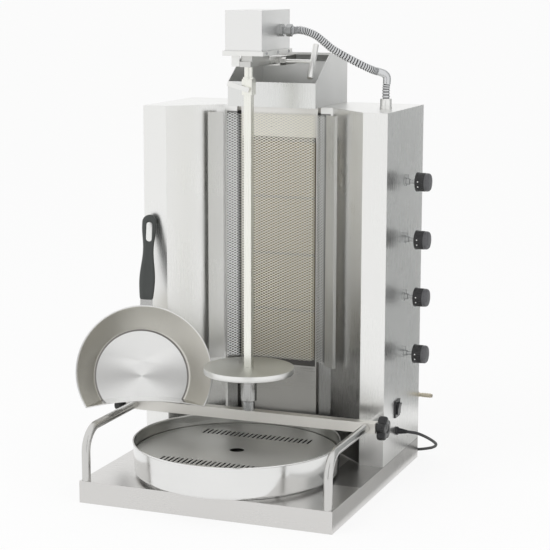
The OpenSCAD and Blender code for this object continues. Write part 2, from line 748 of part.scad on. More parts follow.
gland_nut = 22;
module motor_gland() {
    z = cover_z + gland_up;
    color("silver") difference() {
        union() {
            hex_x(motor_w / 2, motor_w / 2 + 8, gland_y, z, gland_nut);
            rod_x(motor_w / 2 - 8, motor_w / 2 + 20, gland_y, z, 14);
            hex_x(motor_w / 2 + 14, motor_w / 2 + 26, gland_y, z, gland_nut);
        }
        rod_x(motor_w / 2 - 9, motor_w / 2 + 27, gland_y, z, 10);
    }
}

module slide_arm() {
    color(steel) difference() {
        union() {
            slab([-arm_w / 2, spit_y - 20, arm_z], [arm_w / 2, spit_y + arm_back, arm_z + arm_h]);
            slab([-arm_w / 2, spit_y - 12, arm_z + arm_h], [arm_w / 2, spit_y + 84, drive_z]);
        }
        rod_z(0, spit_y, arm_z - eps, drive_z + eps, shaft_d + 2 * fit_gap);
    }
}

guide_y0 = 93;
guide_y1 = hood_ridge_y + 14;
guide_wall = 4;
clamp_y = 104;
clamp_d = 8;
// Guide for the arm, hung from the underside of the roof
module arm_guide() {
    x = arm_w / 2 + fit_gap + guide_wall;
    z0 = arm_z - fit_gap - guide_wall;
    z1 = arm_z + arm_h + fit_gap + guide_wall;
    color("gray") difference() {
        union() {
            slab([-x, guide_y0, z0], [x, guide_y1, z1]);
            along_x([[hood_ridge_y + sheet_t, z1 - 1], [guide_y1, z1 - 1], [guide_y1, wing_z + roof_under(guide_y1)],
                [hood_ridge_y + sheet_t, wing_z + roof_under(hood_ridge_y + sheet_t)]], -x, x);
            hex_x(x - 1, x + 10, clamp_y, arm_z + arm_h / 2, 14);
        }
        slab([-x + guide_wall, guide_y0 - eps, arm_z - fit_gap], [x - guide_wall, guide_y1 + 60, arm_z + arm_h + fit_gap]);
        rod_x(0, x + 11, clamp_y, arm_z + arm_h / 2, clamp_d + 2 * fit_gap);
    }
}

clamp_x = 86;
clamp_tilt = 28;
clamp_tube_d = 12.5;
clamp_bore = 8.5;
clamp_bore_h = 8;
module arm_clamp() {
    z = arm_z + arm_h / 2;
    color(bright) {
        rod_x(arm_w / 2 + seat_gap, clamp_x, clamp_y, z, clamp_d);
        translate([clamp_x, clamp_y, z]) rotate([-clamp_tilt, 0, 0]) difference() {
            translate([0, 0, -clamp_l / 2]) cylinder(h = clamp_l, d = clamp_tube_d);
            translate([0, 0, clamp_l / 2 - clamp_bore_h]) cylinder(h = clamp_bore_h + eps, d = clamp_bore);
        }
    }
}

// Shaft of the gearmotor, down through tray and arm
collar_z = arm_z - 25;
module output_shaft() {
    color("silver") {
        rod_z(0, spit_y, collar_z, cover_z + 19, shaft_d);
        rod_z(0, spit_y, collar_z, collar_z + 4, shaft_d + 6);
    }
}

sleeve_s = 22;
sleeve_h = 32;
boss_d = 14;
lever_z = collar_z - 20;
module coupling() {
    color("silver") difference() {
        union() {
            slab([-sleeve_s / 2, spit_y - sleeve_s / 2, collar_z - sleeve_h], [sleeve_s / 2, spit_y + sleeve_s / 2, collar_z]);
            rod_y(0, spit_y - sleeve_s / 2 - 3, spit_y - sleeve_s / 2 + 1, lever_z, boss_d);
        }
        slab([-rod_s / 2, spit_y - rod_s / 2, collar_z - sleeve_h - eps], [rod_s / 2, spit_y + rod_s / 2, collar_z - 6]);
        rod_y(0, spit_y - sleeve_s / 2 - 4, spit_y - rod_s / 2 + 1, lever_z, 5 + 2 * fit_gap);
    }
}

lever_l = 42;
lever_tilt = 15;
module lock_lever() {
    y = spit_y - sleeve_s / 2 - 3 - seat_gap;
    color(bright) {
        rod_y(0, y - 1, spit_y - rod_s / 2 - seat_gap, lever_z, 5);
        translate([0, y - 3, lever_z]) rotate([0, lever_tilt, 0]) slab([-lever_l, 0, -5], [7, 3, 5]);
    }
}

bar_z = rail_z;
bar_top = bar_z + bar_s / 2;
disc_z = bar_top + disc_over_bar;
hub_low = bar_top + 21;
module spit_rod() {
    color(bright) difference() {
        union() {
            slab([-rod_s / 2, spit_y - rod_s / 2, hub_low], [rod_s / 2, spit_y + rod_s / 2, collar_z - 8]);
            rod_z(0, spit_y, bar_top + 3, hub_low + 1, pin_d);
        }
    }
}

module spit_disc() {
    color(bright) difference() {
        rod_z(0, spit_y, disc_z - disc_t, disc_z, disc_d);
        slab([-rod_s / 2, spit_y - rod_s / 2, disc_z - disc_t - eps], [rod_s / 2, spit_y + rod_s / 2, disc_z + eps]);
    }
}

module disc_hub() {
    color(steel) difference() {
        rod_z(0, spit_y, hub_low, disc_z - disc_t, hub_d);
        slab([-rod_s / 2, spit_y - rod_s / 2, hub_low - eps], [rod_s / 2, spit_y + rod_s / 2, disc_z]);
    }
}

// ---- rails and cross bar -------------------------------------------------------------------

module rail(s) {
    x = s * rail_x;
    color(bright) difference() {
        union() {
            rod_z(x, rail_foot_y, tray_h, rail_z - rail_bend, rail_d);
            rod_y(x, rail_foot_y + rail_bend, wing_face_y, rail_z, rail_d);
            translate([x, rail_foot_y + rail_bend, rail_z - rail_bend]) rotate([0, -90, 0])
                rotate([0, 0, -90]) rotate_extrude(angle = 90) translate([rail_bend, 0]) circle(d = rail_d);
        }
        rod_z(x, rail_foot_y, tray_h - eps, tray_h + 22, screw_d);
        rod_y(x, wing_face_y - 22, wing_face_y + eps, rail_z, screw_d);
    }
}

bar_half = rail_x + bar_over;
module cross_bar() {
    color(bright) difference() {
        slab([-bar_half, spit_y - bar_s / 2, bar_z - bar_s / 2], [bar_half, spit_y + bar_s / 2, bar_top]);
        // Hollow middle, solid ends
        slab([-rail_x + 18, spit_y - bar_s / 2 + 2, bar_z - bar_s / 2 - eps], [rail_x - 18, spit_y + bar_s / 2 - 2, bar_top - 2]);
        for (s = [-1, 1]) rod_y(s * rail_x, spit_y - bar_s, spit_y + bar_s, bar_z, rail_d + 2 * fit_gap);
        for (s = [-1, 1]) rod_x(min(s * (rail_x + 8), s * (bar_half + 1)), max(s * (rail_x + 8), s * (bar_half + 1)),
            spit_y, bar_z, screw_d + 2 * fit_gap);
    }
}

cup_d = 26;
cup_h = 19;
module bearing_cup() {
    color("dimgray") difference() {
        rod_z(0, spit_y, bar_top, bar_top + cup_h, cup_d);
        rod_z(0, spit_y, bar_top + 2.5, bar_top + cup_h + 1, pin_d + 2 * fit_gap);
    }
}

star_lobes = 5;
module star_knob(s) {
    x = bar_half + seat_gap;
    color(dark) mirror([s < 0 ? 1 : 0, 0, 0]) {
        translate([x + 4, spit_y, bar_z]) rotate([90, 0, 90]) difference() {
            cylinder(h = star_t, d = star_d);
            for (k = [0:star_lobes - 1]) rotate(36 + k * 360 / star_lobes)
                translate([star_d / 2 + 5, 0, -1]) cylinder(h = star_t + 2, d = 20);
        }
        rod_x(x, x + 5, spit_y, bar_z, 18);
        rod_x(rail_x + rail_d / 2 + seat_gap, x + 2, spit_y, bar_z, screw_d);
    }
}

// ---- drip pan ------------------------------------------------------------------------------

pan_y = spit_y - pan_front;
pan_r = pan_d / 2;
pan_taper = 3;
pan_foot = 6;
pan_bead = 4;
plate_z = tray_h + pan_h - plate_drop;
plate_t = 1.5;
slot_pitch = 10.4;
slot_w = 5;
slot_row = 113;
ledge = 5;

// Pan wall as (radius, height), turned round its own axis
module drip_pan() {
    pan_z = tray_h + seat_gap;
    low = pan_r - pan_taper;
    seat = plate_z - plate_t - seat_gap - pan_z;
    color(bright) translate([0, pan_y, pan_z]) {
        rotate_extrude($fn = 96) union() {
            polygon([[0, pan_foot], [low, pan_foot], [pan_r, pan_h - 2], [pan_r - pan_t, pan_h - 2],
                [low - pan_t, pan_foot + pan_t], [0, pan_foot + pan_t]]);
            polygon([[low - 20, 0], [low - 17, 0], [low - 17, pan_foot + 0.2], [low - 20, pan_foot + 0.2]]);
            polygon([[low - ledge, seat - 5], [low + 0.8, seat - 8], [low + 0.8, seat], [low - ledge, seat]]);
            translate([pan_r - pan_t / 2, pan_h - 2]) circle(d = pan_bead);
        }
    }
}

module drip_plate() {
    r = pan_r - pan_taper - pan_t - 1.5;
    color(steel) translate([0, pan_y, plate_z - plate_t]) linear_extrude(height = plate_t) difference() {
        circle(r = r);
        circle(d = 31);
        for (s = [-1, 1], i = [0:slot_count - 1])
            translate([(i - (slot_count - 1) / 2) * slot_pitch, s * slot_row]) square([slot_w, slot_l], center = true);
    }
}

// ---- catch pan -----------------------------------------------------------------------------

catch_yaw = 34;
catch_roll = -5.4;
catch_t = 1.2;
catch_r = catch_d / 2;
catch_floor = catch_floor_d / 2;
// The cut-out is a shallow arch whose wall slopes outwards like the pan's
arch_r = 600;
arch_floor = 45;
arch_rim = 60;
arch_turn = 3;
arch_slope = (arch_rim - arch_floor) / catch_h;
tang_l = 15;
handle_rise = 4.1;
handle_t = 15;

// From the pan's own frame, lying on its bottom with the handle towards +Y, to where it leans
function turn_z(v, a) = [v[0] * cos(a) - v[1] * sin(a), v[0] * sin(a) + v[1] * cos(a), v[2]];
function turn_x(v, a) = [v[0], v[1] * cos(a) - v[2] * sin(a), v[1] * sin(a) + v[2] * cos(a)];
function leaning(v) = turn_z(turn_x(turn_z(v, catch_roll), 90 - catch_lean), catch_yaw);
// Right horn of the rim, where it meets the arch
horn_y = -(catch_r * catch_r - pow(arch_r - arch_rim + arch_floor, 2) + pow(arch_r + arch_floor, 2))
    / (2 * (arch_r + arch_floor));
horn = turn_z([sqrt(catch_r * catch_r - horn_y * horn_y), horn_y, catch_h], arch_turn);
// Back corner of the handle's end, which leans on the left housing
handle_end = [17, catch_r + tang_l + handle_l * cos(handle_rise) - 16,
    catch_h - 9 + (tang_l + handle_l) * sin(handle_rise) - handle_t / 2];
catch_at = [-rail_x + 22.8, wing_face_y - 1.9 - leaning(handle_end)[1], bar_top + 0.6 - leaning(horn)[2]];

module leaned() { translate(catch_at) rotate([90 - catch_lean, 0, catch_yaw]) rotate([0, 0, catch_roll]) children(); }
module arch_cut(extra, z0, z1) {
    rotate([0, 0, arch_turn]) translate([0, -arch_r - arch_floor, z0]) cylinder(h = z1 - z0, r1 = arch_r + extra - z0 * arch_slope,
        r2 = arch_r + extra - z1 * arch_slope, $fn = 128);
}

module catch_pan() {
    slope = (catch_r - catch_floor) / catch_h;
    color(bright) leaned() difference() {
        union() {
            cylinder(h = catch_h, r1 = catch_floor, r2 = catch_r, $fn = 96);
            translate([0, 0, catch_h - 1]) rotate_extrude($fn = 96) translate([catch_r, 0]) circle(d = 3.4);
        }
        difference() {
            translate([0, 0, catch_t]) cylinder(h = catch_h, r1 = catch_floor - catch_t,
                r2 = catch_floor - catch_t + slope * catch_h, $fn = 96);
            arch_cut(catch_t, -1, catch_h + 3);
        }
        arch_cut(0, -1, catch_h + 3);
    }
}

// Half width of the handle at a share s of its length from the pan
function grip(s) = 14 + 3 * sin(min(s / 0.25, 1) * 90) - 5.5 * (1 - cos(min(max((s - 0.25) / 0.4, 0), 1) * 180)) / 2
    + 4 * (1 - cos(min(max((s - 0.65) / 0.3, 0), 1) * 180)) / 2;
handle_steps = 24;
handle_outline = let (round_at = handle_l - 15.5) concat(
    [for (i = [0:handle_steps]) [grip(i / handle_steps), i * round_at / handle_steps]],
    [for (a = [10:10:170]) [15.5 * cos(a), round_at + 15.5 * sin(a)]],
    [for (i = [handle_steps:-1:0]) [-grip(i / handle_steps), i * round_at / handle_steps]]);
slot_from_end = 52;
slot_end = 22;

module on_handle() {
    leaned() translate([0, catch_r, catch_h - 9]) rotate([handle_rise, 0, 0]) children();
}

module catch_handle() {
    color(dark) on_handle() translate([0, tang_l, -handle_t / 2]) difference() {
        linear_extrude(height = handle_t) difference() {
            polygon(handle_outline);
            hull() for (y = [handle_l - slot_from_end, handle_l - slot_end]) translate([0, y]) circle(d = 13, $fn = 32);
        }
        translate([-9, -eps, handle_t / 2 - 2]) cube([18, 40 + eps, 4]);
    }
}

// Steel tang from the pan's wall into the handle, with two rivets
module catch_tang() {
    color(steel) difference() {
        on_handle() union() {
            translate([-9, -6, -2]) cube([18, 46 + tang_l, 4]);
            translate([-13, -1, -5]) cube([26, tang_l + 1, 10]);
        }
        leaned() cylinder(h = catch_h + 4, r1 = catch_floor, r2 = catch_r + (catch_r - catch_floor) * 4 / catch_h, $fn = 96);
        leaned() translate([0, 0, catch_h - 1]) rotate_extrude($fn = 96) translate([catch_r, 0]) circle(d = 3.4);
    }
}

// ---- conduit of the motor lead -------------------------------------------------------------

socket_x = half_w - 42;
socket_y = 150;
socket_d = 26;
socket_hole = 14;
socket_h = 21;

conduit_route = [[66.6, 34, 956.2], [72, 34, 956.2], [80, 38, 957], [92, 47, 954], [108, 58, 946], [122, 69, 933], [136, 80, 919], [154, 93, 906],
    [174, 108, 893], [194, 122, 881], [209, 133.5, 872.9], [217, 139, 870]];
rib_count = 58;
conduit_bore = conduit_d / 2 - 2.6;

module motor_conduit() {
    path = along(conduit_route, 12);
    n = len(path) - 1;
    // Two rings to a rib: a crest, then a groove
    picks = [for (i = [0:2 * rib_count]) path[round(i * n / (2 * rib_count))]];
    color("silver") hose(picks, [for (i = [0:2 * rib_count]) conduit_d / 2 - (i % 2 == 0 ? 1.4 : 0)], conduit_bore, 8, [0.55, -0.83, 0]);
}

// Elbow: smooth bend, then a ribbed leg down into the socket on the housing
elbow_route = [[217.3, 139.2, 869.9], [223, 143.1, 867.8], [229.5, 147.5, 864.5], [234, 150, 858], [234.5, 150, 849],
    [233.5, 150, 841], [233, 150, 833], [233, 150, 823], [233, 150, 813]];
elbow_rings = 4;
elbow_radii = [for (i = [0:(len(elbow_route) - 1) * elbow_rings]) i < 20 ? 8.2 : i % 2 == 0 ? 7 : 8.4];
module conduit_fittings() {
    color("silver") hose(along(elbow_route, elbow_rings), elbow_radii, conduit_bore, 12, [0.55, -0.83, 0]);
    color(bright) difference() {
        union() {
            rod_z(socket_x, socket_y, wing_z, wing_z + socket_h, socket_d);
            rod_z(socket_x, socket_y, wing_z - 6, wing_z + 1, socket_hole);
        }
        rod_z(socket_x, socket_y, wing_z - 7, wing_z + socket_h + 1, 2 * conduit_bore - 2);
    }
}

// ---- fasteners -----------------------------------------------------------------------------

module screws() {
    color("silver") {
        for (s = [-1, 1], x = rear_screw_x, i = [0:rear_screw_rows - 1]) {
            rod_y(s * x, rear_in_y - 8, back_y + 1, rear_screw_z(i), rear_screw_d);
            rod_y(s * x, back_y, back_y + 2.4, rear_screw_z(i), 8);
        }
        for (s = [-1, 1]) {
            rod_z(s * rail_x, rail_foot_y, tray_h - sheet_t - 4, tray_h + 20, screw_d);
            rod_z(s * rail_x, rail_foot_y, tray_h - sheet_t - 6, tray_h - sheet_t, 13);
            rod_y(s * rail_x, wing_face_y - 20, wing_face_y + sheet_t + 4, rail_z, screw_d);
            rod_y(s * rail_x, wing_face_y + sheet_t, wing_face_y + sheet_t + 6, rail_z, 13);
        }
    }
}

base_tray();
wing_left();
wing_right();
rear_panel();
burner_panel();
hood();
mesh_guard();
guard_strips();
burner(0);  // burner_1
burner(1);  // burner_2
burner(2);  // burner_3
burner(3);  // burner_4
burner_tiles();
gas_manifold();
gas_valves();
injectors();
gas_inlet();
gas_nozzle();
panel_nuts();
valve_stem(0);  // valve_stem_1
valve_stem(1);  // valve_stem_2
valve_stem(2);  // valve_stem_3
valve_stem(3);  // valve_stem_4
knob(0);  // knob_1
knob(1);  // knob_2
knob(2);  // knob_3
knob(3);  // knob_4
switch_bezel();
switch_rocker();
cord_gland();
mains_cord();
mains_coil();
mains_plug();
motor_cover();
motor_tray();
gearmotor();
motor_gland();
motor_conduit();
conduit_fittings();
slide_arm();
arm_guide();
arm_clamp();
output_shaft();
coupling();
lock_lever();
spit_rod();
spit_disc();
disc_hub();
cross_bar();
bearing_cup();
star_knob(-1);  // bar_knob_left
star_knob(1);  // bar_knob_right
rail(-1);  // rail_left
rail(1);  // rail_right
drip_pan();
drip_plate();
catch_pan();
catch_handle();
catch_tang();
screws();
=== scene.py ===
import math

import bmesh
import bpy
import numpy as np
from mathutils import Euler, Matrix, Quaternion, Vector


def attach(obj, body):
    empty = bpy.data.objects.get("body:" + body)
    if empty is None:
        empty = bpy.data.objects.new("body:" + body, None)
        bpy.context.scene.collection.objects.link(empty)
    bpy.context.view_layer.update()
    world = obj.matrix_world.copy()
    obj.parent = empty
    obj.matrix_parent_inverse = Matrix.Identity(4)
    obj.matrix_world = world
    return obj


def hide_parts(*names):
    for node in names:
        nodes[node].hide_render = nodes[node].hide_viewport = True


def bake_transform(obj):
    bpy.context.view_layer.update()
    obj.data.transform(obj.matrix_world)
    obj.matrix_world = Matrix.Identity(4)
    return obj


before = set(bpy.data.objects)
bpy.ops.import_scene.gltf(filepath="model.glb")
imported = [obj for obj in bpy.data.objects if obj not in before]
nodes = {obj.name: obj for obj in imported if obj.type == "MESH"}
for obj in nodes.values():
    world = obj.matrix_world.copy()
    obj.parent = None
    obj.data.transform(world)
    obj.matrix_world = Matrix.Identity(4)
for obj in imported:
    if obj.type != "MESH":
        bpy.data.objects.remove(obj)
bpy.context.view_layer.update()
mm = 0.001
print("frame loaded,", len(nodes), "pieces")

# camera

camera = dict(at=(1.31113, -3.25117, 1.07474), yaw=21.3218, down=10.1759, roll=0.1414, lens=110.57)


def makeCamera():
    data = bpy.data.cameras.new("camera")
    data.lens, data.sensor_width = camera["lens"], 36
    data.clip_start, data.clip_end = 0.1, 200
    cam = bpy.data.objects.new("camera", data)
    bpy.context.scene.collection.objects.link(cam)
    cam.location = camera["at"]
    cam.rotation_mode = "QUATERNION"
    aim = Euler((math.radians(90 - camera["down"]), 0, math.radians(camera["yaw"]))).to_quaternion()
    cam.rotation_quaternion = aim @ Quaternion((0, 0, 1), math.radians(camera["roll"]))
    bpy.context.scene.camera = cam


makeCamera()

# mesh helpers


def addMesh(name, verts, faces, smooth=True):
    mesh = bpy.data.meshes.new(name)
    mesh.from_pydata([tuple(v) for v in verts], [], faces)
    mesh.validate()
    mesh.update()
    if smooth:
        mesh.polygons.foreach_set("use_smooth", [True] * len(mesh.polygons))
    obj = bpy.data.objects.new(name, mesh)
    bpy.context.scene.collection.objects.link(obj)
    return obj


def paint(obj, material):
    obj.data.materials.clear()
    obj.data.materials.append(material)
    return obj


def addModifier(obj, kind, **settings):
    mod = obj.modifiers.new(kind.lower(), kind)
    for key, value in settings.items():
        setattr(mod, key, value)
    return mod


def bake(obj):
    bpy.context.view_layer.update()
    made = bpy.data.meshes.new_from_object(obj.evaluated_get(bpy.context.evaluated_depsgraph_get()))
    obj.modifiers.clear()
    obj.data = made
    return obj


def sharpEdges(obj, degrees):
    mesh = obj.data
    mesh.polygons.foreach_set("use_smooth", [True] * len(mesh.polygons))
    mesh.set_sharp_from_angle(angle=math.radians(degrees))
    return obj


def scaled(points):
    # millimetres to metres
    return [(a * mm, b * mm) for a, b in points]


def placed(x, y, z, degrees=90):
    # stands a turned piece on its side, its axis along X, at a point in millimetres
    return Matrix.Translation((x * mm, y * mm, z * mm)) @ Matrix.Rotation(math.radians(degrees), 4, "Y")


def lathe(name, profile, around, shape=None, close=True):
    # turns (radius, height) points round Z; shape(angle, index) may change the radius
    verts, faces, n = [], [], len(profile)
    for k in range(around):
        a = 2 * math.pi * k / around
        for i, (r, z) in enumerate(profile):
            f = shape(a, i) if shape else 1
            verts.append((r * f * math.cos(a), r * f * math.sin(a), z))
    for k in range(around):
        m = (k + 1) % around
        for i in range(n if close else n - 1):
            j = (i + 1) % n
            faces.append((k * n + i, m * n + i, m * n + j, k * n + j))
    obj = addMesh(name, verts, faces)
    cleaned = bmesh.new()
    cleaned.from_mesh(obj.data)
    bmesh.ops.remove_doubles(cleaned, verts=cleaned.verts, dist=1e-6)
    bmesh.ops.recalc_face_normals(cleaned, faces=cleaned.faces)
    cleaned.to_mesh(obj.data)
    cleaned.free()
    return sharpEdges(obj, 40)


def rounded(points, radius, steps=4):
    # rounds the inner corners of an open line of (r, z) points
    out = [points[0]]
    for a, b, c in zip(points, points[1:], points[2:]):
        a, b, c = Vector(a), Vector(b), Vector(c)
        u, v = (a - b).normalized(), (c - b).normalized()
        cut = min(radius, (a - b).length * 0.45, (c - b).length * 0.45)
        p, q = b + u * cut, b + v * cut
        for s in range(steps + 1):
            t = s / steps
            out.append(tuple(p * (1 - t) ** 2 + b * 2 * t * (1 - t) + q * t * t))
    return out + [points[-1]]


def smoothLine(points, steps):
    # a smooth curve through the points, the same as in the part's source
    p = [np.array(q, float) for q in points]
    out = []
    for i in range(len(p) - 1):
        a, b, c, d = p[max(i - 1, 0)], p[i], p[i + 1], p[min(i + 2, len(p) - 1)]
        for s in range(steps):
            t = s / steps
            out.append(0.5 * (2 * b + (c - a) * t + (2 * a - 5 * b + 4 * c - d) * t * t
                              + (3 * b - a - 3 * c + d) * t ** 3))
    return out + [p[-1]]


def ringFaces(rings, around, caps=True):
    # quads between rings of points that follow each other, and a cap on each end
    faces = []
    for i in range(rings - 1):
        for k in range(around):
            m = (k + 1) % around
            faces.append((i * around + k, i * around + m, (i + 1) * around + m, (i + 1) * around + k))
    if caps:
        faces.append(tuple(range(around - 1, -1, -1)))
        faces.append(tuple((rings - 1) * around + k for k in range(around)))
    return faces


def hoseMesh(name, line, radii, sides, caps=True):
    verts, side, count = [], None, len(line)
    for i, p in enumerate(line):
        way = np.array(line[min(i + 1, count - 1)]) - np.array(line[max(i - 1, 0)])
        way = way / np.linalg.norm(way)
        if side is None:
            side = np.cross(way, (0.55, -0.83, 0.1))  # any direction in which no hose starts
        side = side - way * side.dot(way)
        side = side / np.linalg.norm(side)
        up = np.cross(way, side)
        for k in range(sides):
            a = 2 * math.pi * k / sides
            verts.append(np.array(p) + radii[i] * (math.cos(a) * side + math.sin(a) * up))
    return addMesh(name, verts, ringFaces(count, sides, caps))


def lineLength(line):
    return float(sum(np.linalg.norm(np.array(b) - np.array(a)) for a, b in zip(line, line[1:])))


# finishes


def startMaterial(name, colour, metallic, roughness):
    mat = bpy.data.materials.new(name)
    mat.use_nodes = True
    shader = mat.node_tree.nodes["Principled BSDF"]
    shader.inputs["Base Color"].default_value = (*colour, 1)
    shader.inputs["Metallic"].default_value = metallic
    shader.inputs["Roughness"].default_value = roughness
    mat.diffuse_color = (*colour, 1)
    return mat, mat.node_tree.nodes, mat.node_tree.links, shader


def noise(tree, links, coords, scale, stretch=(1, 1, 1), detail=3.0, rough=0.5):
    place = tree.new("ShaderNodeMapping")
    place.inputs["Scale"].default_value = stretch
    links.new(coords, place.inputs["Vector"])
    tex = tree.new("ShaderNodeTexNoise")
    tex.inputs["Scale"].default_value = scale
    tex.inputs["Detail"].default_value = detail
    tex.inputs["Roughness"].default_value = rough
    links.new(place.outputs["Vector"], tex.inputs["Vector"])
    return tex.outputs["Fac"]


def remap(tree, links, value, low, high, fromLow=0.3, fromHigh=0.7):
    node = tree.new("ShaderNodeMapRange")
    node.inputs["From Min"].default_value = fromLow
    node.inputs["From Max"].default_value = fromHigh
    node.inputs["To Min"].default_value = low
    node.inputs["To Max"].default_value = high
    links.new(value, node.inputs["Value"])
    return node.outputs["Result"]


def calc(tree, links, kind, *values, clamp=False):
    node = tree.new("ShaderNodeMath")
    node.operation, node.use_clamp = kind, clamp
    for socket, value in zip(node.inputs, values):
        if isinstance(value, (int, float)):
            socket.default_value = value
        else:
            links.new(value, socket)
    return node.outputs[0]


def blendColour(tree, links, factor, first, second):
    node = tree.new("ShaderNodeMix")
    node.data_type = "RGBA"
    links.new(factor, node.inputs["Factor"])
    for socket, value in ((6, first), (7, second)):
        if isinstance(value, tuple):
            node.inputs[socket].default_value = (*value, 1)
        else:
            links.new(value, node.inputs[socket])
    return node.outputs[2]


def bumpFrom(tree, links, shader, height, distance, strength=1.0, edge=0.0):
    bump = tree.new("ShaderNodeBump")
    bump.inputs["Strength"].default_value = strength
    bump.inputs["Distance"].default_value = distance
    links.new(height, bump.inputs["Height"])
    if edge:  # a soft light-catching edge on folded sheet
        bevel = tree.new("ShaderNodeBevel")
        bevel.samples = 4
        bevel.inputs["Radius"].default_value = edge
        links.new(bevel.outputs["Normal"], bump.inputs["Normal"])
    links.new(bump.outputs["Normal"], shader.inputs["Normal"])


# painted shade: the near black that the steel is darkened towards in the patches below
shadeColour = (0.012, 0.011, 0.01)


def paintedShade(tree, links, coords, colour, patches):
    # painted shade and painted dark reflections on steel: in a patch, the share of its own colour that it keeps
    # goes from one value at its low z to another at its high z; the rest is near black
    split = tree.new("ShaderNodeSeparateXYZ")
    links.new(coords, split.inputs[0])
    x, y, z = split.outputs
    keep = 1.0
    for fromX, toX, fromY, fromZ, lowZ, highZ, keepLow, keepHigh in patches:
        across = calc(tree, links, "MULTIPLY", calc(tree, links, "LESS_THAN", x, toX),
                      calc(tree, links, "GREATER_THAN", x, fromX))
        behind = calc(tree, links, "MULTIPLY", calc(tree, links, "GREATER_THAN", y, fromY),
                      calc(tree, links, "GREATER_THAN", z, fromZ))
        inside = calc(tree, links, "MULTIPLY", across, behind)
        loss = calc(tree, links, "SUBTRACT", 1.0, remap(tree, links, z, keepLow, keepHigh, lowZ, highZ))
        kept = calc(tree, links, "SUBTRACT", 1.0, calc(tree, links, "MULTIPLY", inside, loss))
        keep = calc(tree, links, "MULTIPLY", keep, kept)
    return blendColour(tree, links, keep, shadeColour, colour)


def brushedSteel(name, colour, rough, grain="z", depth=0.000004, smudge=0.04, edge=0.0007, shadePatches=None):
    # sheet steel: fine brush lines along one axis, faint cloudy smudges, edges that catch the light
    mat, tree, links, shader = startMaterial(name, colour, 1.0, rough)
    coords = tree.new("ShaderNodeTexCoord").outputs["Object"]
    long = {"x": (0.006, 1, 1), "y": (1, 0.006, 1), "z": (1, 1, 0.006)}[grain]
    lines = noise(tree, links, coords, 1500, long, 2)
    cloud = noise(tree, links, coords, 6, (1, 1, 1), 3, 0.5)
    base = blendColour(tree, links, cloud, tuple(c * (1 - smudge) for c in colour), colour)
    # painted shade and painted dark reflections, in patches
    if shadePatches:
        base = paintedShade(tree, links, coords, base, shadePatches)
    links.new(base, shader.inputs["Base Color"])
    scratched = remap(tree, links, lines, -0.025, 0.025)
    smudged = remap(tree, links, cloud, rough * 0.85, rough * 1.2)
    links.new(calc(tree, links, "ADD", scratched, smudged), shader.inputs["Roughness"])
    bumpFrom(tree, links, shader, lines, depth, 0.5, edge)
    return mat


# painted reflection: the colour of the dark arms of the fan of light
fanShade = (0.16, 0.155, 0.15)


def turnedSteel(name, colour, rough, strength, fan=0.0):
    # spun sheet: rings round the piece's own axis, which spread the light into a fan
    mat, tree, links, shader = startMaterial(name, colour, 1.0, rough)
    shader.inputs["Anisotropic"].default_value = strength
    tangent = tree.new("ShaderNodeTangent")
    tangent.direction_type, tangent.axis = "RADIAL", "Z"
    links.new(tangent.outputs["Tangent"], shader.inputs["Tangent"])
    coords = tree.new("ShaderNodeTexCoord").outputs["Object"]
    rings = tree.new("ShaderNodeTexWave")
    rings.wave_type, rings.rings_direction = "RINGS", "Z"
    rings.inputs["Scale"].default_value = 260
    rings.inputs["Distortion"].default_value = 0.6
    rings.inputs["Detail"].default_value = 2
    links.new(coords, rings.inputs["Vector"])
    cloud = noise(tree, links, coords, 14, (1, 1, 1), 4)
    base = blendColour(tree, links, cloud, tuple(c * 0.93 for c in colour), colour)
    if fan:  # painted reflection: the dark arms of that fan, painted as two darker wedges across the sheet
        around = tree.new("ShaderNodeTexGradient")
        around.gradient_type = "RADIAL"
        links.new(coords, around.inputs["Vector"])
        turn = remap(tree, links, around.outputs["Fac"], 0, 2 * math.pi, 0, 1)
        lobes = calc(tree, links, "ABSOLUTE", calc(tree, links, "COSINE", turn))
        narrow = calc(tree, links, "POWER", lobes, 7)
        base = blendColour(tree, links, remap(tree, links, narrow, 0, fan, 0, 1), base, fanShade)
    links.new(base, shader.inputs["Base Color"])
    links.new(remap(tree, links, rings.outputs["Fac"], rough * 0.9, rough * 1.15, 0, 1), shader.inputs["Roughness"])
    bumpFrom(tree, links, shader, rings.outputs["Fac"], 0.00001, 0.35)
    return mat


def moulded(name, colour, rough, grain=0.00004, scale=700, wear=0.25):
    mat, tree, links, shader = startMaterial(name, colour, 0.0, rough)
    coords = tree.new("ShaderNodeTexCoord").outputs["Object"]
    fine = noise(tree, links, coords, scale, (1, 1, 1), 3)
    cloud = noise(tree, links, coords, 30, (1, 1, 1), 3)
    light = tuple(min(1, c * (1 + wear) + 0.004) for c in colour)
    links.new(blendColour(tree, links, cloud, colour, light), shader.inputs["Base Color"])
    links.new(remap(tree, links, cloud, rough * 0.85, rough * 1.2), shader.inputs["Roughness"])
    bumpFrom(tree, links, shader, fine, grain, 0.5, 0.0004)
    return mat


def castMetal(name, colour, rough, grain=0.00008, scale=350):
    mat, tree, links, shader = startMaterial(name, colour, 1.0, rough)
    coords = tree.new("ShaderNodeTexCoord").outputs["Object"]
    fine = noise(tree, links, coords, scale, (1, 1, 1), 3)
    cloud = noise(tree, links, coords, 25, (1, 1, 1), 4)
    links.new(blendColour(tree, links, cloud, tuple(c * 0.8 for c in colour), colour), shader.inputs["Base Color"])
    links.new(remap(tree, links, cloud, rough * 0.8, rough * 1.25), shader.inputs["Roughness"])
    bumpFrom(tree, links, shader, fine, grain, 0.4, 0.0004)
    return mat


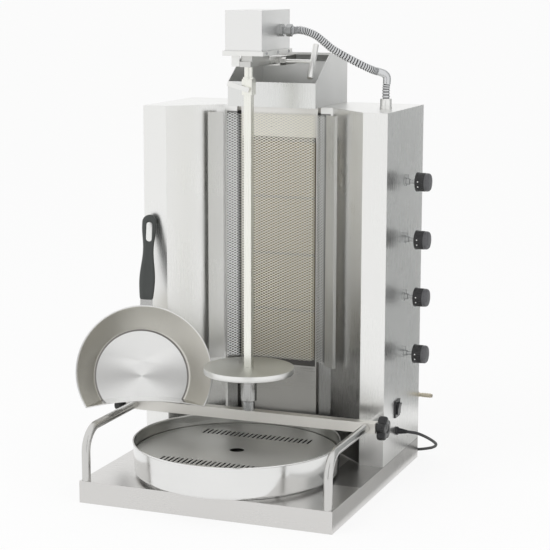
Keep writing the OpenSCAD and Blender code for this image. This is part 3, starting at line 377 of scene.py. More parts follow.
def piercedCeramic(name, colour, pitch=0.0021):
    # burner tile: rows of small flame holes in cream ceramic
    mat, tree, links, shader = startMaterial(name, colour, 0.0, 0.85)
    coords = tree.new("ShaderNodeTexCoord").outputs["Object"]
    place = tree.new("ShaderNodeMapping")
    place.inputs["Scale"].default_value = (1 / pitch, 0, 1 / pitch)
    place.inputs["Rotation"].default_value = (0, math.radians(45), 0)
    links.new(coords, place.inputs["Vector"])
    cell = tree.new("ShaderNodeVectorMath")
    cell.operation = "FRACTION"
    links.new(place.outputs["Vector"], cell.inputs[0])
    centred = tree.new("ShaderNodeVectorMath")
    centred.operation = "DISTANCE"
    centred.inputs[1].default_value = (0.5, 0, 0.5)
    links.new(cell.outputs["Vector"], centred.inputs[0])
    hole = remap(tree, links, centred.outputs["Value"], 0, 1, 0.26, 0.36)
    cloud = noise(tree, links, coords, 40, (1, 1, 1), 4)
    body = blendColour(tree, links, cloud, colour, tuple(c * 0.9 for c in colour))
    pierced = blendColour(tree, links, hole, (0.12, 0.09, 0.05), body)
    split = tree.new("ShaderNodeSeparateXYZ")
    links.new(coords, split.inputs[0])
    lowEdge = remap(tree, links, split.outputs[2], 0, 1, 0.240, 0.252)  # sooty along the lowest edge
    links.new(blendColour(tree, links, lowEdge, (0.10, 0.095, 0.09), pierced), shader.inputs["Base Color"])
    bumpFrom(tree, links, shader, hole, 0.0006, 0.8)
    return mat


# painted shade and painted dark reflections: patches on the housings, hood, burner panel and tray, darker towards one
# end of their z range
# in metres: from x, to x, from y, from z, low z, high z; then the share kept at low z and at high z
paintedShadePatches = dict(
    wing=[(-0.119, 0.2216, 0.0335, 0.05, 0.08, 0.6, 0.3, 1.0),
          (-0.119, -0.085, 0.098, 0.2385, 0.778, 0.779, 0.3, 1.0),
          (0.085, 0.119, 0.098, 0.2385, 0.778, 0.779, 0.3, 1.0)],
    hood=[(0.0985, 0.2, -1, 0, 0.79, 0.93, 0.66, 0.96)],
    panel=[(-1, 1, -1, 0, 0.08, 0.78, 0.62, 1.0),
           (-0.084, 0.084, -1, 0.2425, 0.7262, 0.7266, 0.04, 1.0),
           (0.0875, 0.13, -1, 0.2385, 0.778, 0.779, 0.3, 1.0),
           (-0.13, -0.0875, -1, 0.2385, 0.778, 0.779, 0.3, 1.0)],
    tray=[(0.19, 0.28, -0.12, 0, 0.0445, 0.0455, 1.0, 0.5)])

finish = {
    "wing": brushedSteel("housing_sheet", (0.87, 0.87, 0.855), 0.29, shadePatches=paintedShadePatches["wing"]),
    "hood": brushedSteel("hood_sheet", (0.78, 0.785, 0.77), 0.3, shadePatches=paintedShadePatches["hood"]),
    "panel": brushedSteel("burner_panel_sheet", (0.80, 0.79, 0.76), 0.3, "x", shadePatches=paintedShadePatches["panel"]),
    "sheet": brushedSteel("guard_sheet", (0.66, 0.66, 0.64), 0.3),
    "tray": brushedSteel("base_tray_sheet", (0.69, 0.68, 0.665), 0.30, "x", shadePatches=paintedShadePatches["tray"]),
    "pale": brushedSteel("pale_steel", (0.86, 0.86, 0.84), 0.32),
    "mesh": brushedSteel("guard_mesh", (0.96, 0.965, 0.96), 0.42, "x", edge=0),
    # painted reflection: the middle facet's strands are tinted warm for the light that the tiles behind them throw on
    # them
    "meshTileTint": brushedSteel("guard_mesh_tile_tint", (0.98, 0.96, 0.86), 0.42, "x", edge=0),
    "bar": brushedSteel("satin_bar", (0.79, 0.775, 0.735), 0.42, "x"),
    "rail": brushedSteel("satin_rail", (0.64, 0.635, 0.62), 0.2, "y"),
    "rod": brushedSteel("spit_steel", (0.90, 0.90, 0.84), 0.26),
    "cover": brushedSteel("cover_sheet", (0.86, 0.86, 0.85), 0.33, "x"),
    "plate": brushedSteel("drip_plate_sheet", (0.72, 0.72, 0.70), 0.42, "x"),
    "hub": brushedSteel("hub_steel", (0.42, 0.42, 0.41), 0.14),
    "tang": brushedSteel("tang_steel", (0.50, 0.50, 0.49), 0.25),
    "zinc": castMetal("zinc_plate", (0.50, 0.51, 0.51), 0.24),
    "brass": castMetal("brass", (0.64, 0.59, 0.48), 0.3, 0.00003),
    "scorched": castMetal("burner_steel", (0.12, 0.115, 0.11), 0.6),
    "motor": moulded("motor_paint", (0.30, 0.33, 0.35), 0.45, 0.00003, 300),
    # painted shade: the tile gets a dark brown in place of its cream, for the shade behind the mesh guard
    "ceramic": piercedCeramic("burner_ceramic", (0.23, 0.19, 0.11)),
    "spun": turnedSteel("spun_steel", (0.90, 0.90, 0.89), 0.3, 0.95, fan=0.42),
    # painted shade: the pan's wall is painted darker than its floor, and pan_ring is a dark line painted in the crease
    # between them
    "panWall": turnedSteel("pan_wall", (0.66, 0.645, 0.595), 0.3, 0.6, fan=0.18),
    "ring": turnedSteel("pan_ring", (0.22, 0.21, 0.20), 0.3, 0.4),
    "polished": turnedSteel("polished_pan", (0.82, 0.82, 0.81), 0.15, 0.3),
    "panInside": turnedSteel("pan_inside", (0.50, 0.50, 0.48), 0.2, 0.3),
    "disc": turnedSteel("turned_disc", (0.60, 0.60, 0.565), 0.42, 0.5),
    "knob": moulded("knob_plastic", (0.009, 0.009, 0.01), 0.2, 0.00001, 900),
    "cap": moulded("knob_cap", (0.085, 0.085, 0.09), 0.3, 0.00002, 900),
    "mark": moulded("white_mark", (0.85, 0.85, 0.83), 0.4, 0.00001, 900, 0.02),
    "switch": moulded("switch_plastic", (0.010, 0.010, 0.012), 0.16, 0.00001, 900),
    "handle": moulded("handle_plastic", (0.040, 0.044, 0.042), 0.36, 0.00005, 1200),
    "lead": moulded("lead_rubber", (0.022, 0.022, 0.024), 0.38, 0.00002, 500),
    "hose": castMetal("hose_zinc", (0.74, 0.75, 0.76), 0.24, 0.00002),
    "groove": castMetal("hose_groove", (0.10, 0.10, 0.10), 0.5, 0.00002),
}

wears = {
    "tray": "base_tray",
    "wing": "wing_left wing_right",
    "hood": "hood rear_panel",
    "panel": "burner_panel",
    "sheet": "guard_strips arm_guide slide_arm",
    "pale": "motor_tray arm_clamp lock_lever",
    "hub": "disc_hub",
    "tang": "catch_tang",
    "cover": "motor_cover",
    "bar": "cross_bar",
    "rail": "rail_left rail_right",
    "rod": "spit_rod coupling output_shaft",
    "plate": "drip_plate",
    "zinc": "screws panel_nuts valve_stem_1 valve_stem_2 valve_stem_3 valve_stem_4 motor_gland bearing_cup",
    "brass": "gas_manifold gas_valves injectors gas_inlet",
    "scorched": "burner_1 burner_2 burner_3 burner_4",
    "ceramic": "burner_tiles",
    "motor": "gearmotor",
    "switch": "switch_bezel switch_rocker",
}
for key, names in wears.items():
    for name in names.split():
        paint(nodes[name], finish[key])
print("finishes on", sum(len(v.split()) for v in wears.values()), "CAD pieces")

# mains lead

lead = dict(
    diameter=6.5, lie=3.35, pitch=7.7, turns=3, rise=7.7, core=5.5, perTurn=48, tailSteps=12, tailStep=3.5,
    route=[(299.5, 124, 103), (303, 124, 103), (310, 128, 101.5), (318, 137, 98), (326, 158, 88), (331, 185, 75),
           (333, 212, 62), (331, 240, 49), (324, 262, 38), (312, 281, 28), (296, 296, 20), (276, 307, 13),
           (252, 315, 8), (225, 322, 4.5), (200, 327, 3.35), (175, 331, 3.35), (150, 334, 3.35),
           (125, 336, 3.35), (105, 336, 3.35), (85, 336, 3.35), (75, 336, 3.35)],
    plugHeight=18.1)


def leadLine():
    # along the ground to a coil, which winds inward, comes back out on top of itself and ends at the plug
    d, pitch, turns, perTurn = lead["diameter"], lead["pitch"], lead["turns"], lead["perTurn"]
    outer = lead["core"] * d + turns * pitch / 2
    end = lead["route"][-1]
    cx, cy = end[0] - d, end[1] + outer
    total = 2 * turns + 0.5
    line = smoothLine(lead["route"], 4)[:-1] + [np.array(end, float)]

    def coil(t):
        inward = pitch * t if t <= turns else pitch * turns if t <= turns + 0.5 else pitch * (total - t)
        r, a = outer - inward, math.radians(-90 - 360 * t)
        return np.array((cx + r * math.cos(a), cy + r * math.sin(a),
                         lead["lie"] + lead["rise"] * min(1, max(0, (t - turns) * 2))))

    line += [coil(i / perTurn) for i in range(int(perTurn * total) + 1)]
    leave = line[-1]
    for i in range(1, lead["tailSteps"] + 1):
        up = (lead["plugHeight"] - leave[2]) * (1 - math.cos(min(i / 8, 1) * math.pi)) / 2
        line.append(leave + np.array((i * lead["tailStep"], 0, up)))
    return [p * mm for p in line], (cx, cy, outer)


def makeLead():
    line, centre = leadLine()
    curve = bpy.data.curves.new("mains_lead", "CURVE")
    curve.dimensions = "3D"
    curve.bevel_depth, curve.bevel_resolution, curve.use_fill_caps = lead["diameter"] * mm / 2, 5, True
    spline = curve.splines.new("POLY")
    spline.points.add(len(line) - 1)
    for point, p in zip(spline.points, line):
        point.co = (*p, 1)
    obj = bpy.data.objects.new("mains_lead", curve)
    bpy.context.scene.collection.objects.link(obj)
    obj.data.materials.append(finish["lead"])
    return obj, line, centre


leadCurve, leadPoints, coilCentre = makeLead()
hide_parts("mains_cord", "mains_coil")
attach(leadCurve, "body")

plug = dict(
    length=48, ribs=18, ribDeep=0.035, ribbed=(5, 8), pinRadius=2.4, pinLength=19, pinPitch=19,
    grip=[(3.6, 0), (4.6, 1), (5.2, 8), (7.6, 20), (9, 23), (15, 30), (17.6, 33.5), (18, 36),
          (18, 45), (17, 47.6), (15.6, 48)])


def makePlug(at):
    # round moulded plug, its grip ribbed where the fingers hold it
    first, last = plug["ribbed"]

    def ribs(a, i):
        return 1 - (plug["ribDeep"] * (0.5 + 0.5 * math.cos(plug["ribs"] * a)) if first <= i <= last else 0)

    body = lathe("plug_grip", scaled([(0, 0)] + plug["grip"] + [(0, plug["length"])]), 108, ribs)
    r, base, tip = plug["pinRadius"], plug["length"] - 1, plug["length"] + plug["pinLength"]
    pinLine = scaled([(0, base), (r, base), (r, tip - r * 0.6), (r * 0.8, tip - r * 0.2), (0, tip)])
    for s in (-1, 1):
        pin = lathe("plug_pin_%d" % (s + 2), pinLine, 32)
        pin.location = (0, s * plug["pinPitch"] / 2 * mm, 0)
        paint(pin, finish["brass"])
        pin.parent = body
    body.matrix_world = Matrix.Translation(at) @ Matrix.Rotation(math.radians(90), 4, "Y")
    paint(body, finish["lead"])
    return body


plugBody = makePlug(leadPoints[-1])
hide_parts("mains_plug")
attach(plugBody, "body")


tie = dict(radius=0.7, proud=4.2, high=8.2, middle=7.7, square=0.6, along=(-0.866, 0.5), points=48)


def squared(value, power):
    # a sine or cosine bent towards the corners of a rounded square
    return math.copysign(abs(value) ** power, value)


def makeTie():
    # wire tie round both layers of the coil
    cx, cy, outer = coilCentre
    half = lead["turns"] / 2 * lead["pitch"]
    line = []
    for k in range(tie["points"] + 1):
        a = 2 * math.pi * k / tie["points"]
        r = outer - half + (half + tie["proud"]) * squared(math.cos(a), tie["square"])
        z = tie["middle"] + tie["high"] * squared(math.sin(a), tie["square"])
        line.append((cx + r * tie["along"][0], cy + r * tie["along"][1], max(z, tie["radius"])))
    wire = hoseMesh("coil_tie", [np.array(p) * mm for p in line], [tie["radius"] * mm] * len(line), 10, False)
    return paint(wire, finish["lead"])


coilTie = makeTie()
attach(coilTie, "body")
print("mains lead %.2f m" % lineLength(leadPoints))

# strain relief boot of the lead

boot = dict(x=269, y=124, z=103, bore=3.2, spigot=6, spigotRadius=5.4, flange=4, flangeRadius=9,
            taper=20.6, wide=7, narrow=4.3, ribs=6, ribDeep=0.9)


def makeBoot():
    b = boot
    inner, outer, start, shoulder = b["spigotRadius"], b["flangeRadius"], b["spigot"], b["spigot"] + b["flange"]
    profile = [(b["bore"], 0), (inner, 0), (inner, start), (outer - 0.4, start), (outer, start + 0.5),
               (outer, shoulder - 0.6), (outer - 0.6, shoulder)]
    step = b["taper"] / b["ribs"]
    for k in range(b["ribs"]):
        r, z = b["wide"] + (b["narrow"] - b["wide"]) * k / (b["ribs"] - 1), shoulder + k * step
        deep = r - b["ribDeep"]
        profile += [(r, z), (r - 0.1, z + step * 0.6), (deep, z + step * 0.7), (deep, z + step * 0.92)]
    profile[-1] = (profile[-1][0], shoulder + b["taper"])
    profile.append((b["bore"], shoulder + b["taper"]))
    piece = lathe("lead_boot", scaled(profile), 64)
    piece.matrix_world = placed(b["x"], b["y"], b["z"])
    return paint(piece, finish["switch"])


leadBoot = makeBoot()
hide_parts("cord_gland")
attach(leadBoot, "body")

# motor conduit

conduit = dict(
    diameter=17, ribs=48, ribSteps=6, groove=2.0, sides=24,
    route=[(66.6, 34, 956.2), (72, 34, 956.2), (80, 38, 957), (92, 47, 954), (108, 58, 946), (122, 69, 933),
           (136, 80, 919), (154, 93, 906), (174, 108, 893), (194, 122, 881), (209, 133.5, 872.9), (217, 139, 870)],
    elbow=[(217.3, 139.2, 869.9), (223, 143.1, 867.8), (229.5, 147.5, 864.5), (234, 150, 858), (234.5, 150, 849),
           (233.5, 150, 841), (233, 150, 833), (233, 150, 823), (233, 150, 813)],
    bendRadius=8.3, legRadius=8.4, legGroove=1.9, legFrom=46,
    socket=[(5, -6), (7, -6), (7, 0), (13, 0), (13, 4), (12.2, 4.8), (12.2, 20), (11.4, 21), (5, 21)],
    socketAt=(0.233, 0.150, 0.792))


def ribRadius(i, crest, groove):
    return crest - groove * (0.5 + 0.5 * math.cos(2 * math.pi * i / conduit["ribSteps"])) ** 1.6


def inGroove(i):
    return i % conduit["ribSteps"] in (0, conduit["ribSteps"] - 1)


def ribbedHose(name, path, radii, deep):
    # painted shade: the bottoms of the ribs are painted dark
    hose = hoseMesh(name, [p * mm for p in path], [r * mm for r in radii], conduit["sides"])
    paint(hose, finish["hose"])
    hose.data.materials.append(finish["groove"])
    for poly in hose.data.polygons:
        ring = poly.index // conduit["sides"]
        if ring < len(deep) and deep[ring]:
            poly.material_index = 1
    return hose


def makeConduit():
    path = smoothLine(conduit["route"], 40)
    steps = conduit["ribs"] * conduit["ribSteps"]
    picks = [path[round(i * (len(path) - 1) / steps)] for i in range(steps + 1)]
    radii = [ribRadius(i, conduit["diameter"] / 2, conduit["groove"]) for i in range(steps + 1)]
    hose = ribbedHose("motor_conduit_hose", picks, radii, [inGroove(i) for i in range(steps)])
    return hose, [p * mm for p in path]


def makeElbow():
    # smooth cast bend, ribbed leg, and the socket with its flange on the housing
    path = smoothLine(conduit["elbow"], 10)
    radii, deep = [], []
    for i in range(len(path)):
        ribbed = i > conduit["legFrom"]
        radii.append(ribRadius(i, conduit["legRadius"], conduit["legGroove"]) if ribbed else conduit["bendRadius"])
        deep.append(ribbed and inGroove(i))
    bend = ribbedHose("conduit_elbow", path, radii, deep)
    socket = lathe("conduit_socket", scaled(conduit["socket"]), 48)
    socket.location = conduit["socketAt"]
    return bend, paint(socket, finish["pale"])


conduitHose, conduitPath = makeConduit()
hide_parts("motor_conduit")
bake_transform(conduitHose)
conduitElbow, conduitSocket = makeElbow()
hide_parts("conduit_fittings")
for piece in (conduitElbow, conduitSocket):
    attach(piece, "body")
print("motor conduit %.2f m" % lineLength(conduitPath))

# mesh guard

guard = dict(width=175, front=122, proud=0.6, gap=0.3, forward=21, outward=30, low=239, high=539,
             pitchX=11.2, pitchZ=5.75, strand=1.62, sheet=0.5, lift=0.35)


def guardFacet(name, width):
    # one flat facet of expanded metal in its own plane: x along it, z up, y the thickness
    halfX, halfZ = guard["pitchX"] / 2, guard["pitchZ"] / 2
    inX, inZ = halfX - guard["strand"] * 0.95, halfZ - guard["strand"] * 0.6
    index, verts, faces = {}, [], []

    def corner(x, y, z):
        key = (round(x, 3), round(y, 3), round(z, 3))
        if key not in index:
            index[key] = len(verts)
            verts.append((x * mm, y * mm, z * mm))
        return index[key]

    rows = int(guard["high"] / halfZ) + 2
    cols = int(width / halfX) + 2
    for j in range(rows):
        for i in range(cols):
            if (i + j) % 2:
                continue
            cx, cz = i * halfX, j * halfZ
            if min(cx - halfX, cz - halfZ) < -0.1 or cx + halfX > width + 0.1 or cz + halfZ > guard["high"] + 0.1:
                continue  # only whole diamonds
            ring = [(cx - halfX, cz), (cx, cz - halfZ), (cx + halfX, cz), (cx, cz + halfZ)]
            hole = [(cx - inX, cz), (cx, cz - inZ), (cx + inX, cz), (cx, cz + inZ)]
            tilt = [0, -guard["lift"], 0, guard["lift"]]  # the lower strand of a hole stands forward
            outer = [corner(x, 0, z) for x, z in ring]
            inner = [corner(x, y, z) for (x, z), y in zip(hole, tilt)]
            for k in range(4):
                m = (k + 1) % 4
                faces.append((outer[k], outer[m], inner[m], inner[k]))
    obj = addMesh(name, verts, faces, smooth=False)
    addModifier(obj, "SOLIDIFY", thickness=guard["sheet"] * mm, offset=0)
    return bake(obj)


def makeGuard():
    half, side = guard["width"] / 2, guard["width"] / 2 + guard["gap"]
    sideLength = math.hypot(guard["outward"], guard["forward"]) - guard["gap"]
    turn = math.atan2(-guard["forward"], guard["outward"])
    parts = []
    for name, x, width, angle, look in (("guard_middle", -half, guard["width"], 0, "meshTileTint"),
                                        ("guard_right", side, sideLength, turn, "mesh"),
                                        ("guard_left", -side, sideLength, math.pi - turn, "mesh")):
        piece = paint(guardFacet(name, width), finish[look])
        piece.matrix_world = (Matrix.Translation((x * mm, (guard["front"] + guard["proud"]) * mm, guard["low"] * mm))
                              @ Matrix.Rotation(angle, 4, "Z"))
        parts.append(piece)
    return parts


for piece in makeGuard():
    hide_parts("mesh_guard")
    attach(piece, "body")
print("mesh guard")

# gas knobs

gasKnob = dict(x=302, y=155, heights=(269, 392.5, 516, 639.5), diameter=41, length=30,
               flutes=28, fluteDeep=0.035, fluted=(5, 7), markTurns=(25, -7), markAt=7.4, markSize=2.8)


def makeGasKnob(name):
    # fluted grip with a paler cap, and two small white dots let into it
    r, top, half = gasKnob["diameter"] / 2, gasKnob["length"], gasKnob["markSize"] / 2
    first, last = gasKnob["fluted"]
    gripLine = [(0, 0.2), (r - 1.5, 0), (r, 0.8), (r, 4.2), (r - 0.7, 4.8), (r - 0.8, 5.4), (r - 0.8, 18),
                (r - 0.9, 19.6), (r - 1.6, 20.2), (0, 20.2)]
    capLine = [(0, 20), (r - 1.2, 20), (r - 1.0, 21), (r - 1.1, 25), (r - 1.9, 27.6), (r - 3.6, 29.3),
               (r - 5.6, 29.9), (0, top)]
    markLine = [(0, -0.6), (half, -0.6), (half, 0.25), (half * 0.7, 0.45), (0, 0.45)]

    def flutes(a, i):
        wave = (0.5 + 0.5 * math.cos(gasKnob["flutes"] * a)) ** 2
        return 1 - (gasKnob["fluteDeep"] * wave if first <= i <= last else 0)

    body = paint(lathe(name + "_body", scaled(gripLine), 224, flutes), finish["knob"])
    cap = paint(lathe(name + "_cap", scaled(capLine), 96), finish["cap"])
    cap.parent = body
    for k, turn in enumerate(gasKnob["markTurns"]):
        mark = paint(lathe(name + "_mark_%d" % k, scaled(markLine), 24), finish["mark"])
        mark.matrix_world = Matrix.Rotation(math.radians(turn - 90), 4, "Z") @ placed(r - 0.45, 0, gasKnob["markAt"])
        mark.parent = body
    return body


for count, height in enumerate(gasKnob["heights"], 1):
    piece = makeGasKnob("gas_knob_%d" % count)
    piece.matrix_world = placed(gasKnob["x"], gasKnob["y"], height)
    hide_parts("knob_%d" % count)
    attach(piece, "gas_control_%d" % count)
print("gas knobs")

# star knobs on the cross bar

starKnob = dict(x=284.3, y=-42, z=152.5, diameter=52, thick=19, lobes=5, lobeDeep=0.24, turn=36,
                stud=[(0, -11.2), (3.3, -11.2), (4, -10.4), (4, 0.5), (0, 0.5)])


def makeStarKnob(name):
    r, t = starKnob["diameter"] / 2, starKnob["thick"]
    head = rounded([(12, 4), (r - 0.5, 4.6), (r, 4 + t / 2), (r - 1.5, 3.4 + t), (10, 4 + t)], 5)
    profile = [(0, 0), (9, 0), (9, 4)] + head + [(9, 3.2 + t), (0, 3 + t)]

    def lobes(a, i):
        if i < 3 or profile[i][0] < 11:  # the neck and the middle of the top stay round
            return 1
        return 1 - starKnob["lobeDeep"] * (0.5 - 0.5 * math.cos(starKnob["lobes"] * a)) ** 1.5

    body = paint(lathe(name, scaled(profile), 160, lobes), finish["knob"])
    stud = paint(lathe(name + "_stud", scaled(starKnob["stud"]), 32), finish["zinc"])
    stud.parent = body
    return body


for side, name in ((-1, "left"), (1, "right")):
    piece = makeStarKnob("bar_star_" + name)
    piece.matrix_world = (placed(side * starKnob["x"], starKnob["y"], starKnob["z"], 90 * side)
                          @ Matrix.Rotation(math.radians(starKnob["turn"]), 4, "Z"))
    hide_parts("bar_knob_" + name)
    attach(piece, "bar_clamp_" + name)
print("star knobs")

# gas nozzle

nozzle = dict(x=260, y=301, z=141, length=43, bore=3, rings=4, ringFrom=18, ringStep=5.4)


def makeNozzle():
    length, bore = nozzle["length"], nozzle["bore"]
    profile = [(bore, 0), (7.2, 0), (7.6, 0.8), (7.6, 7.2), (7.2, 8), (5, 8.2), (5, 8.6), (6.5, 9), (6.5, 11.6),
               (6.2, 12), (5, 12.2)]
    for k in range(nozzle["rings"]):  # rings that hold the gas hose
        z = nozzle["ringFrom"] + nozzle["ringStep"] * k
        profile += [(4.3, z), (5.2, z + 3.6), (5.2, z + 4.2), (4.4, z + 4.5)]
    profile += [(4.1, length), (bore, length)]

    def hexagon(a, i):
        side = math.cos((a + math.pi / 6) % (math.pi / 3) - math.pi / 6)
        return 1 / max(side, 0.8) if 1 <= i <= 4 else 1

    piece = lathe("gas_hose_nozzle", scaled(profile), 96, hexagon)
    piece.matrix_world = placed(nozzle["x"], nozzle["y"], nozzle["z"])
    return paint(piece, finish["brass"])


gasNozzle = makeNozzle()
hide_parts("gas_nozzle")
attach(gasNozzle, "body")
print("gas nozzle")

# spit disc

meatDisc = dict(y=-42, z=243.5, thick=13, diameter=191, bore=17.92)


def makeDisc():
    r, t, hole = meatDisc["diameter"] / 2, meatDisc["thick"], meatDisc["bore"] / 2
    profile = [(hole, 0), (r - 1.4, 0), (r - 0.4, 0.4), (r, 1.4), (r, t - 1.4), (r - 0.4, t - 0.4), (r - 1.4, t),
               (hole, t)]
    piece = lathe("meat_disc", scaled(profile), 192)
    piece.location = (0, meatDisc["y"] * mm, meatDisc["z"] * mm)
    paint(piece, finish["disc"])
    piece.data.materials.append(finish["pale"])
    for poly in piece.data.polygons:  # the rim in the paler steel
        if abs(poly.normal.z) < 0.8 and math.hypot(poly.center.x, poly.center.y) > (r - 3) * mm:
            poly.material_index = 1
    return piece


spitDisc = makeDisc()
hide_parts("spit_disc")
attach(spitDisc, "spit")

# drip pan

dripPan = dict(y=-108, z=46.3, radius=216, taper=3, height=72, foot=6, footIn=17, footWide=3, sheet=1.2, bead=2,
               seat=45.2, ledge=5)


def makeDripPan():
    # beaded shell, the ring that it stands on, and the ledge that carries the slotted plate
    p = dripPan
    rim, low, floor, top, t = p["radius"], p["radius"] - p["taper"], p["foot"], p["height"], p["sheet"]
    outer = rounded([(0, floor), (low, floor), (rim, top - 3)], 6, 6)
    turns = [math.radians(a) for a in range(-60, 231, 30)]
    bead = [(rim - 0.6 + p["bead"] * math.cos(a), top - 2 + p["bead"] * math.sin(a)) for a in turns]
    inner = rounded([(rim - t - 0.4, top - 3.5), (low - t, floor + t), (0, floor + t)], 6, 6)
    shell = lathe("drip_pan_shell", scaled(outer + bead + inner), 256, close=False)
    far = low - p["footIn"]
    near = far - p["footWide"]
    ring = lathe("drip_pan_foot", scaled([(near, 0.6), (near + 0.6, 0), (far - 0.6, 0), (far, 0.6),
                                          (far, floor + 0.4), (near, floor + 0.4)]), 192)
    seat, lip = p["seat"], low - p["ledge"]
    ledge = lathe("drip_pan_ledge", scaled([(lip, seat - 5), (low + 0.6, seat - 8), (low + 0.9, seat),
                                            (lip, seat)]), 192)
    for piece in (shell, ring, ledge):
        piece.location = (0, p["y"] * mm, p["z"] * mm)
        paint(piece, finish["polished"])
        piece.data.materials.append(finish["panInside"])
        for poly in piece.data.polygons:  # a little rougher inside, and painted darker there for the dark reflections inside the pan
            inward = poly.normal.x * poly.center.x + poly.normal.y * poly.center.y < 0
            if poly.center.z < (top - 3) * mm and (inward or poly.normal.z > 0.5) and piece is not ring:
                poly.material_index = 1
    return shell, ring, ledge


for piece in makeDripPan():
    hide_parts("drip_pan")
    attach(piece, "drip_tray")
print("disc and drip pan")

# catch pan

handPan = dict(at=(-240.2, -62.346, 218.943), lean=22, yaw=34, roll=-5.4, rim=144.5, floor=103.5, depth=48,
               sheet=1.2, archRadius=600, archFloor=45, archRim=60, archTurn=3, bead=1.7, lip=0.9, ring=(5.5, 1.5))
handPanPlace = (Matrix.Translation([v * mm for v in handPan["at"]])
                @ Matrix.Rotation(math.radians(handPan["yaw"]), 4, "Z")
                @ Matrix.Rotation(math.radians(90 - handPan["lean"]), 4, "X")
                @ Matrix.Rotation(math.radians(handPan["roll"]), 4, "Z"))


def archCutter(name, grow):
    # cone whose side makes the scooped edge of the pan
    p = handPan
    slope = (p["archRim"] - p["archFloor"]) / p["depth"]
    low, high = -2, p["depth"] + 4
    rows = [(p["archRadius"] + grow - z * slope, z) for z in (low, high)]
    cutter = lathe(name, scaled([(0, low)] + rows + [(0, high)]), 720)
    turn = Matrix.Rotation(math.radians(p["archTurn"]), 4, "Z")
    cutter.matrix_world = turn @ Matrix.Translation((0, -(p["archRadius"] + p["archFloor"]) * mm, 0))
    return cutter


def carve(obj, cutter):
    addModifier(obj, "BOOLEAN", operation="DIFFERENCE", object=cutter, solver="EXACT")
    bake(obj)
    bpy.data.objects.remove(cutter)


def makeHandPan():
    p = handPan
    t, slope = p["sheet"], (p["rim"] - p["floor"]) / p["depth"]
    outerLine = rounded([(0, 0), (p["floor"], 0), (p["rim"], p["depth"])], 6, 8)
    shell = lathe("hand_pan", scaled(outerLine + [(0, p["depth"])]), 256)
    top = p["depth"] + 1
    innerLine = rounded([(0, t), (p["floor"] - t, t), (p["floor"] - t + slope * top, t + top)], 5.5, 8)
    cavity = lathe("cavity", scaled(innerLine + [(0, t + top)]), 256)
    carve(cavity, archCutter("grown_arch", t))
    carve(shell, archCutter("arch", 0))
    carve(shell, cavity)
    sharpEdges(shell, 30)
    # bead along the rim and the scooped edge
    level = p["archRadius"] - p["archRim"] + p["archFloor"]
    centre = -(p["archRadius"] + p["archFloor"])
    hornY = -(p["rim"] ** 2 - level ** 2 + centre ** 2) / (2 * -centre)
    hornX = math.sqrt(p["rim"] ** 2 - hornY ** 2)
    start = math.atan2(hornY, hornX)
    rim = [(p["rim"] * math.cos(a), p["rim"] * math.sin(a)) for a in np.linspace(start, math.pi - start, 200)]
    spread = math.atan2(hornX, hornY - centre)
    edge = [(level * math.sin(a), centre + level * math.cos(a)) for a in np.linspace(-spread, spread, 60)]
    c, s = math.cos(math.radians(p["archTurn"])), math.sin(math.radians(p["archTurn"]))

    def border(name, points, below, radius, sides):
        line = [np.array((x * c - y * s, x * s + y * c, p["depth"] - below)) * mm for x, y in points]
        return paint(hoseMesh(name, line, [radius * mm] * len(line), sides), finish["spun"])

    bead = border("hand_pan_rim", rim, 1, p["bead"], 14)
    lip = border("hand_pan_lip", edge, 0.6, p["lip"], 10)
    paint(shell, finish["spun"])
    for look in ("panWall", "ring"):
        shell.data.materials.append(finish[look])
    ringFrom, ringTo = p["floor"] - p["ring"][0], p["floor"] - p["ring"][1]
    for poly in shell.data.polygons:  # the floor is bright; the wall is painted darker and a dark line is painted where they meet, both painted shade
        r = math.hypot(poly.center.x, poly.center.y) / mm
        poly.material_index = 0 if r < ringFrom else 2 if r < ringTo and poly.center.z > 0.0008 else 1
    for piece in (shell, bead, lip):
        piece.matrix_world = handPanPlace
    return shell, bead, lip


for piece in makeHandPan():
    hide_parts("catch_pan")
    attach(piece, "hand_pan")

# its handle

handle = dict(length=185, thick=15, tang=15, rise=4.1, drop=9, end=15.5, slotFrom=52, slotTo=22, slotWidth=13,
              steps=40, around=40, square=(0.55, 0.75),
              cut=[(-9, 3.0), (-7.4, 1.6), (-5.6, 0.3), (-4, 0), (4, 0), (5.6, 0.3), (7.4, 1.6), (9, 3.0)])


def ease(v):
    return (1 - math.cos(math.pi * min(max(v, 0), 1))) / 2


def gripWidth(s):
    # half the width along the grip: it swells behind the tang, narrows in the hand and widens to its end
    swell = 3 * math.sin(math.radians(90 * min(s / 0.25, 1)))
    return 14 + swell - 5.5 * ease((s - 0.25) / 0.4) + 4 * ease((s - 0.65) / 0.3)


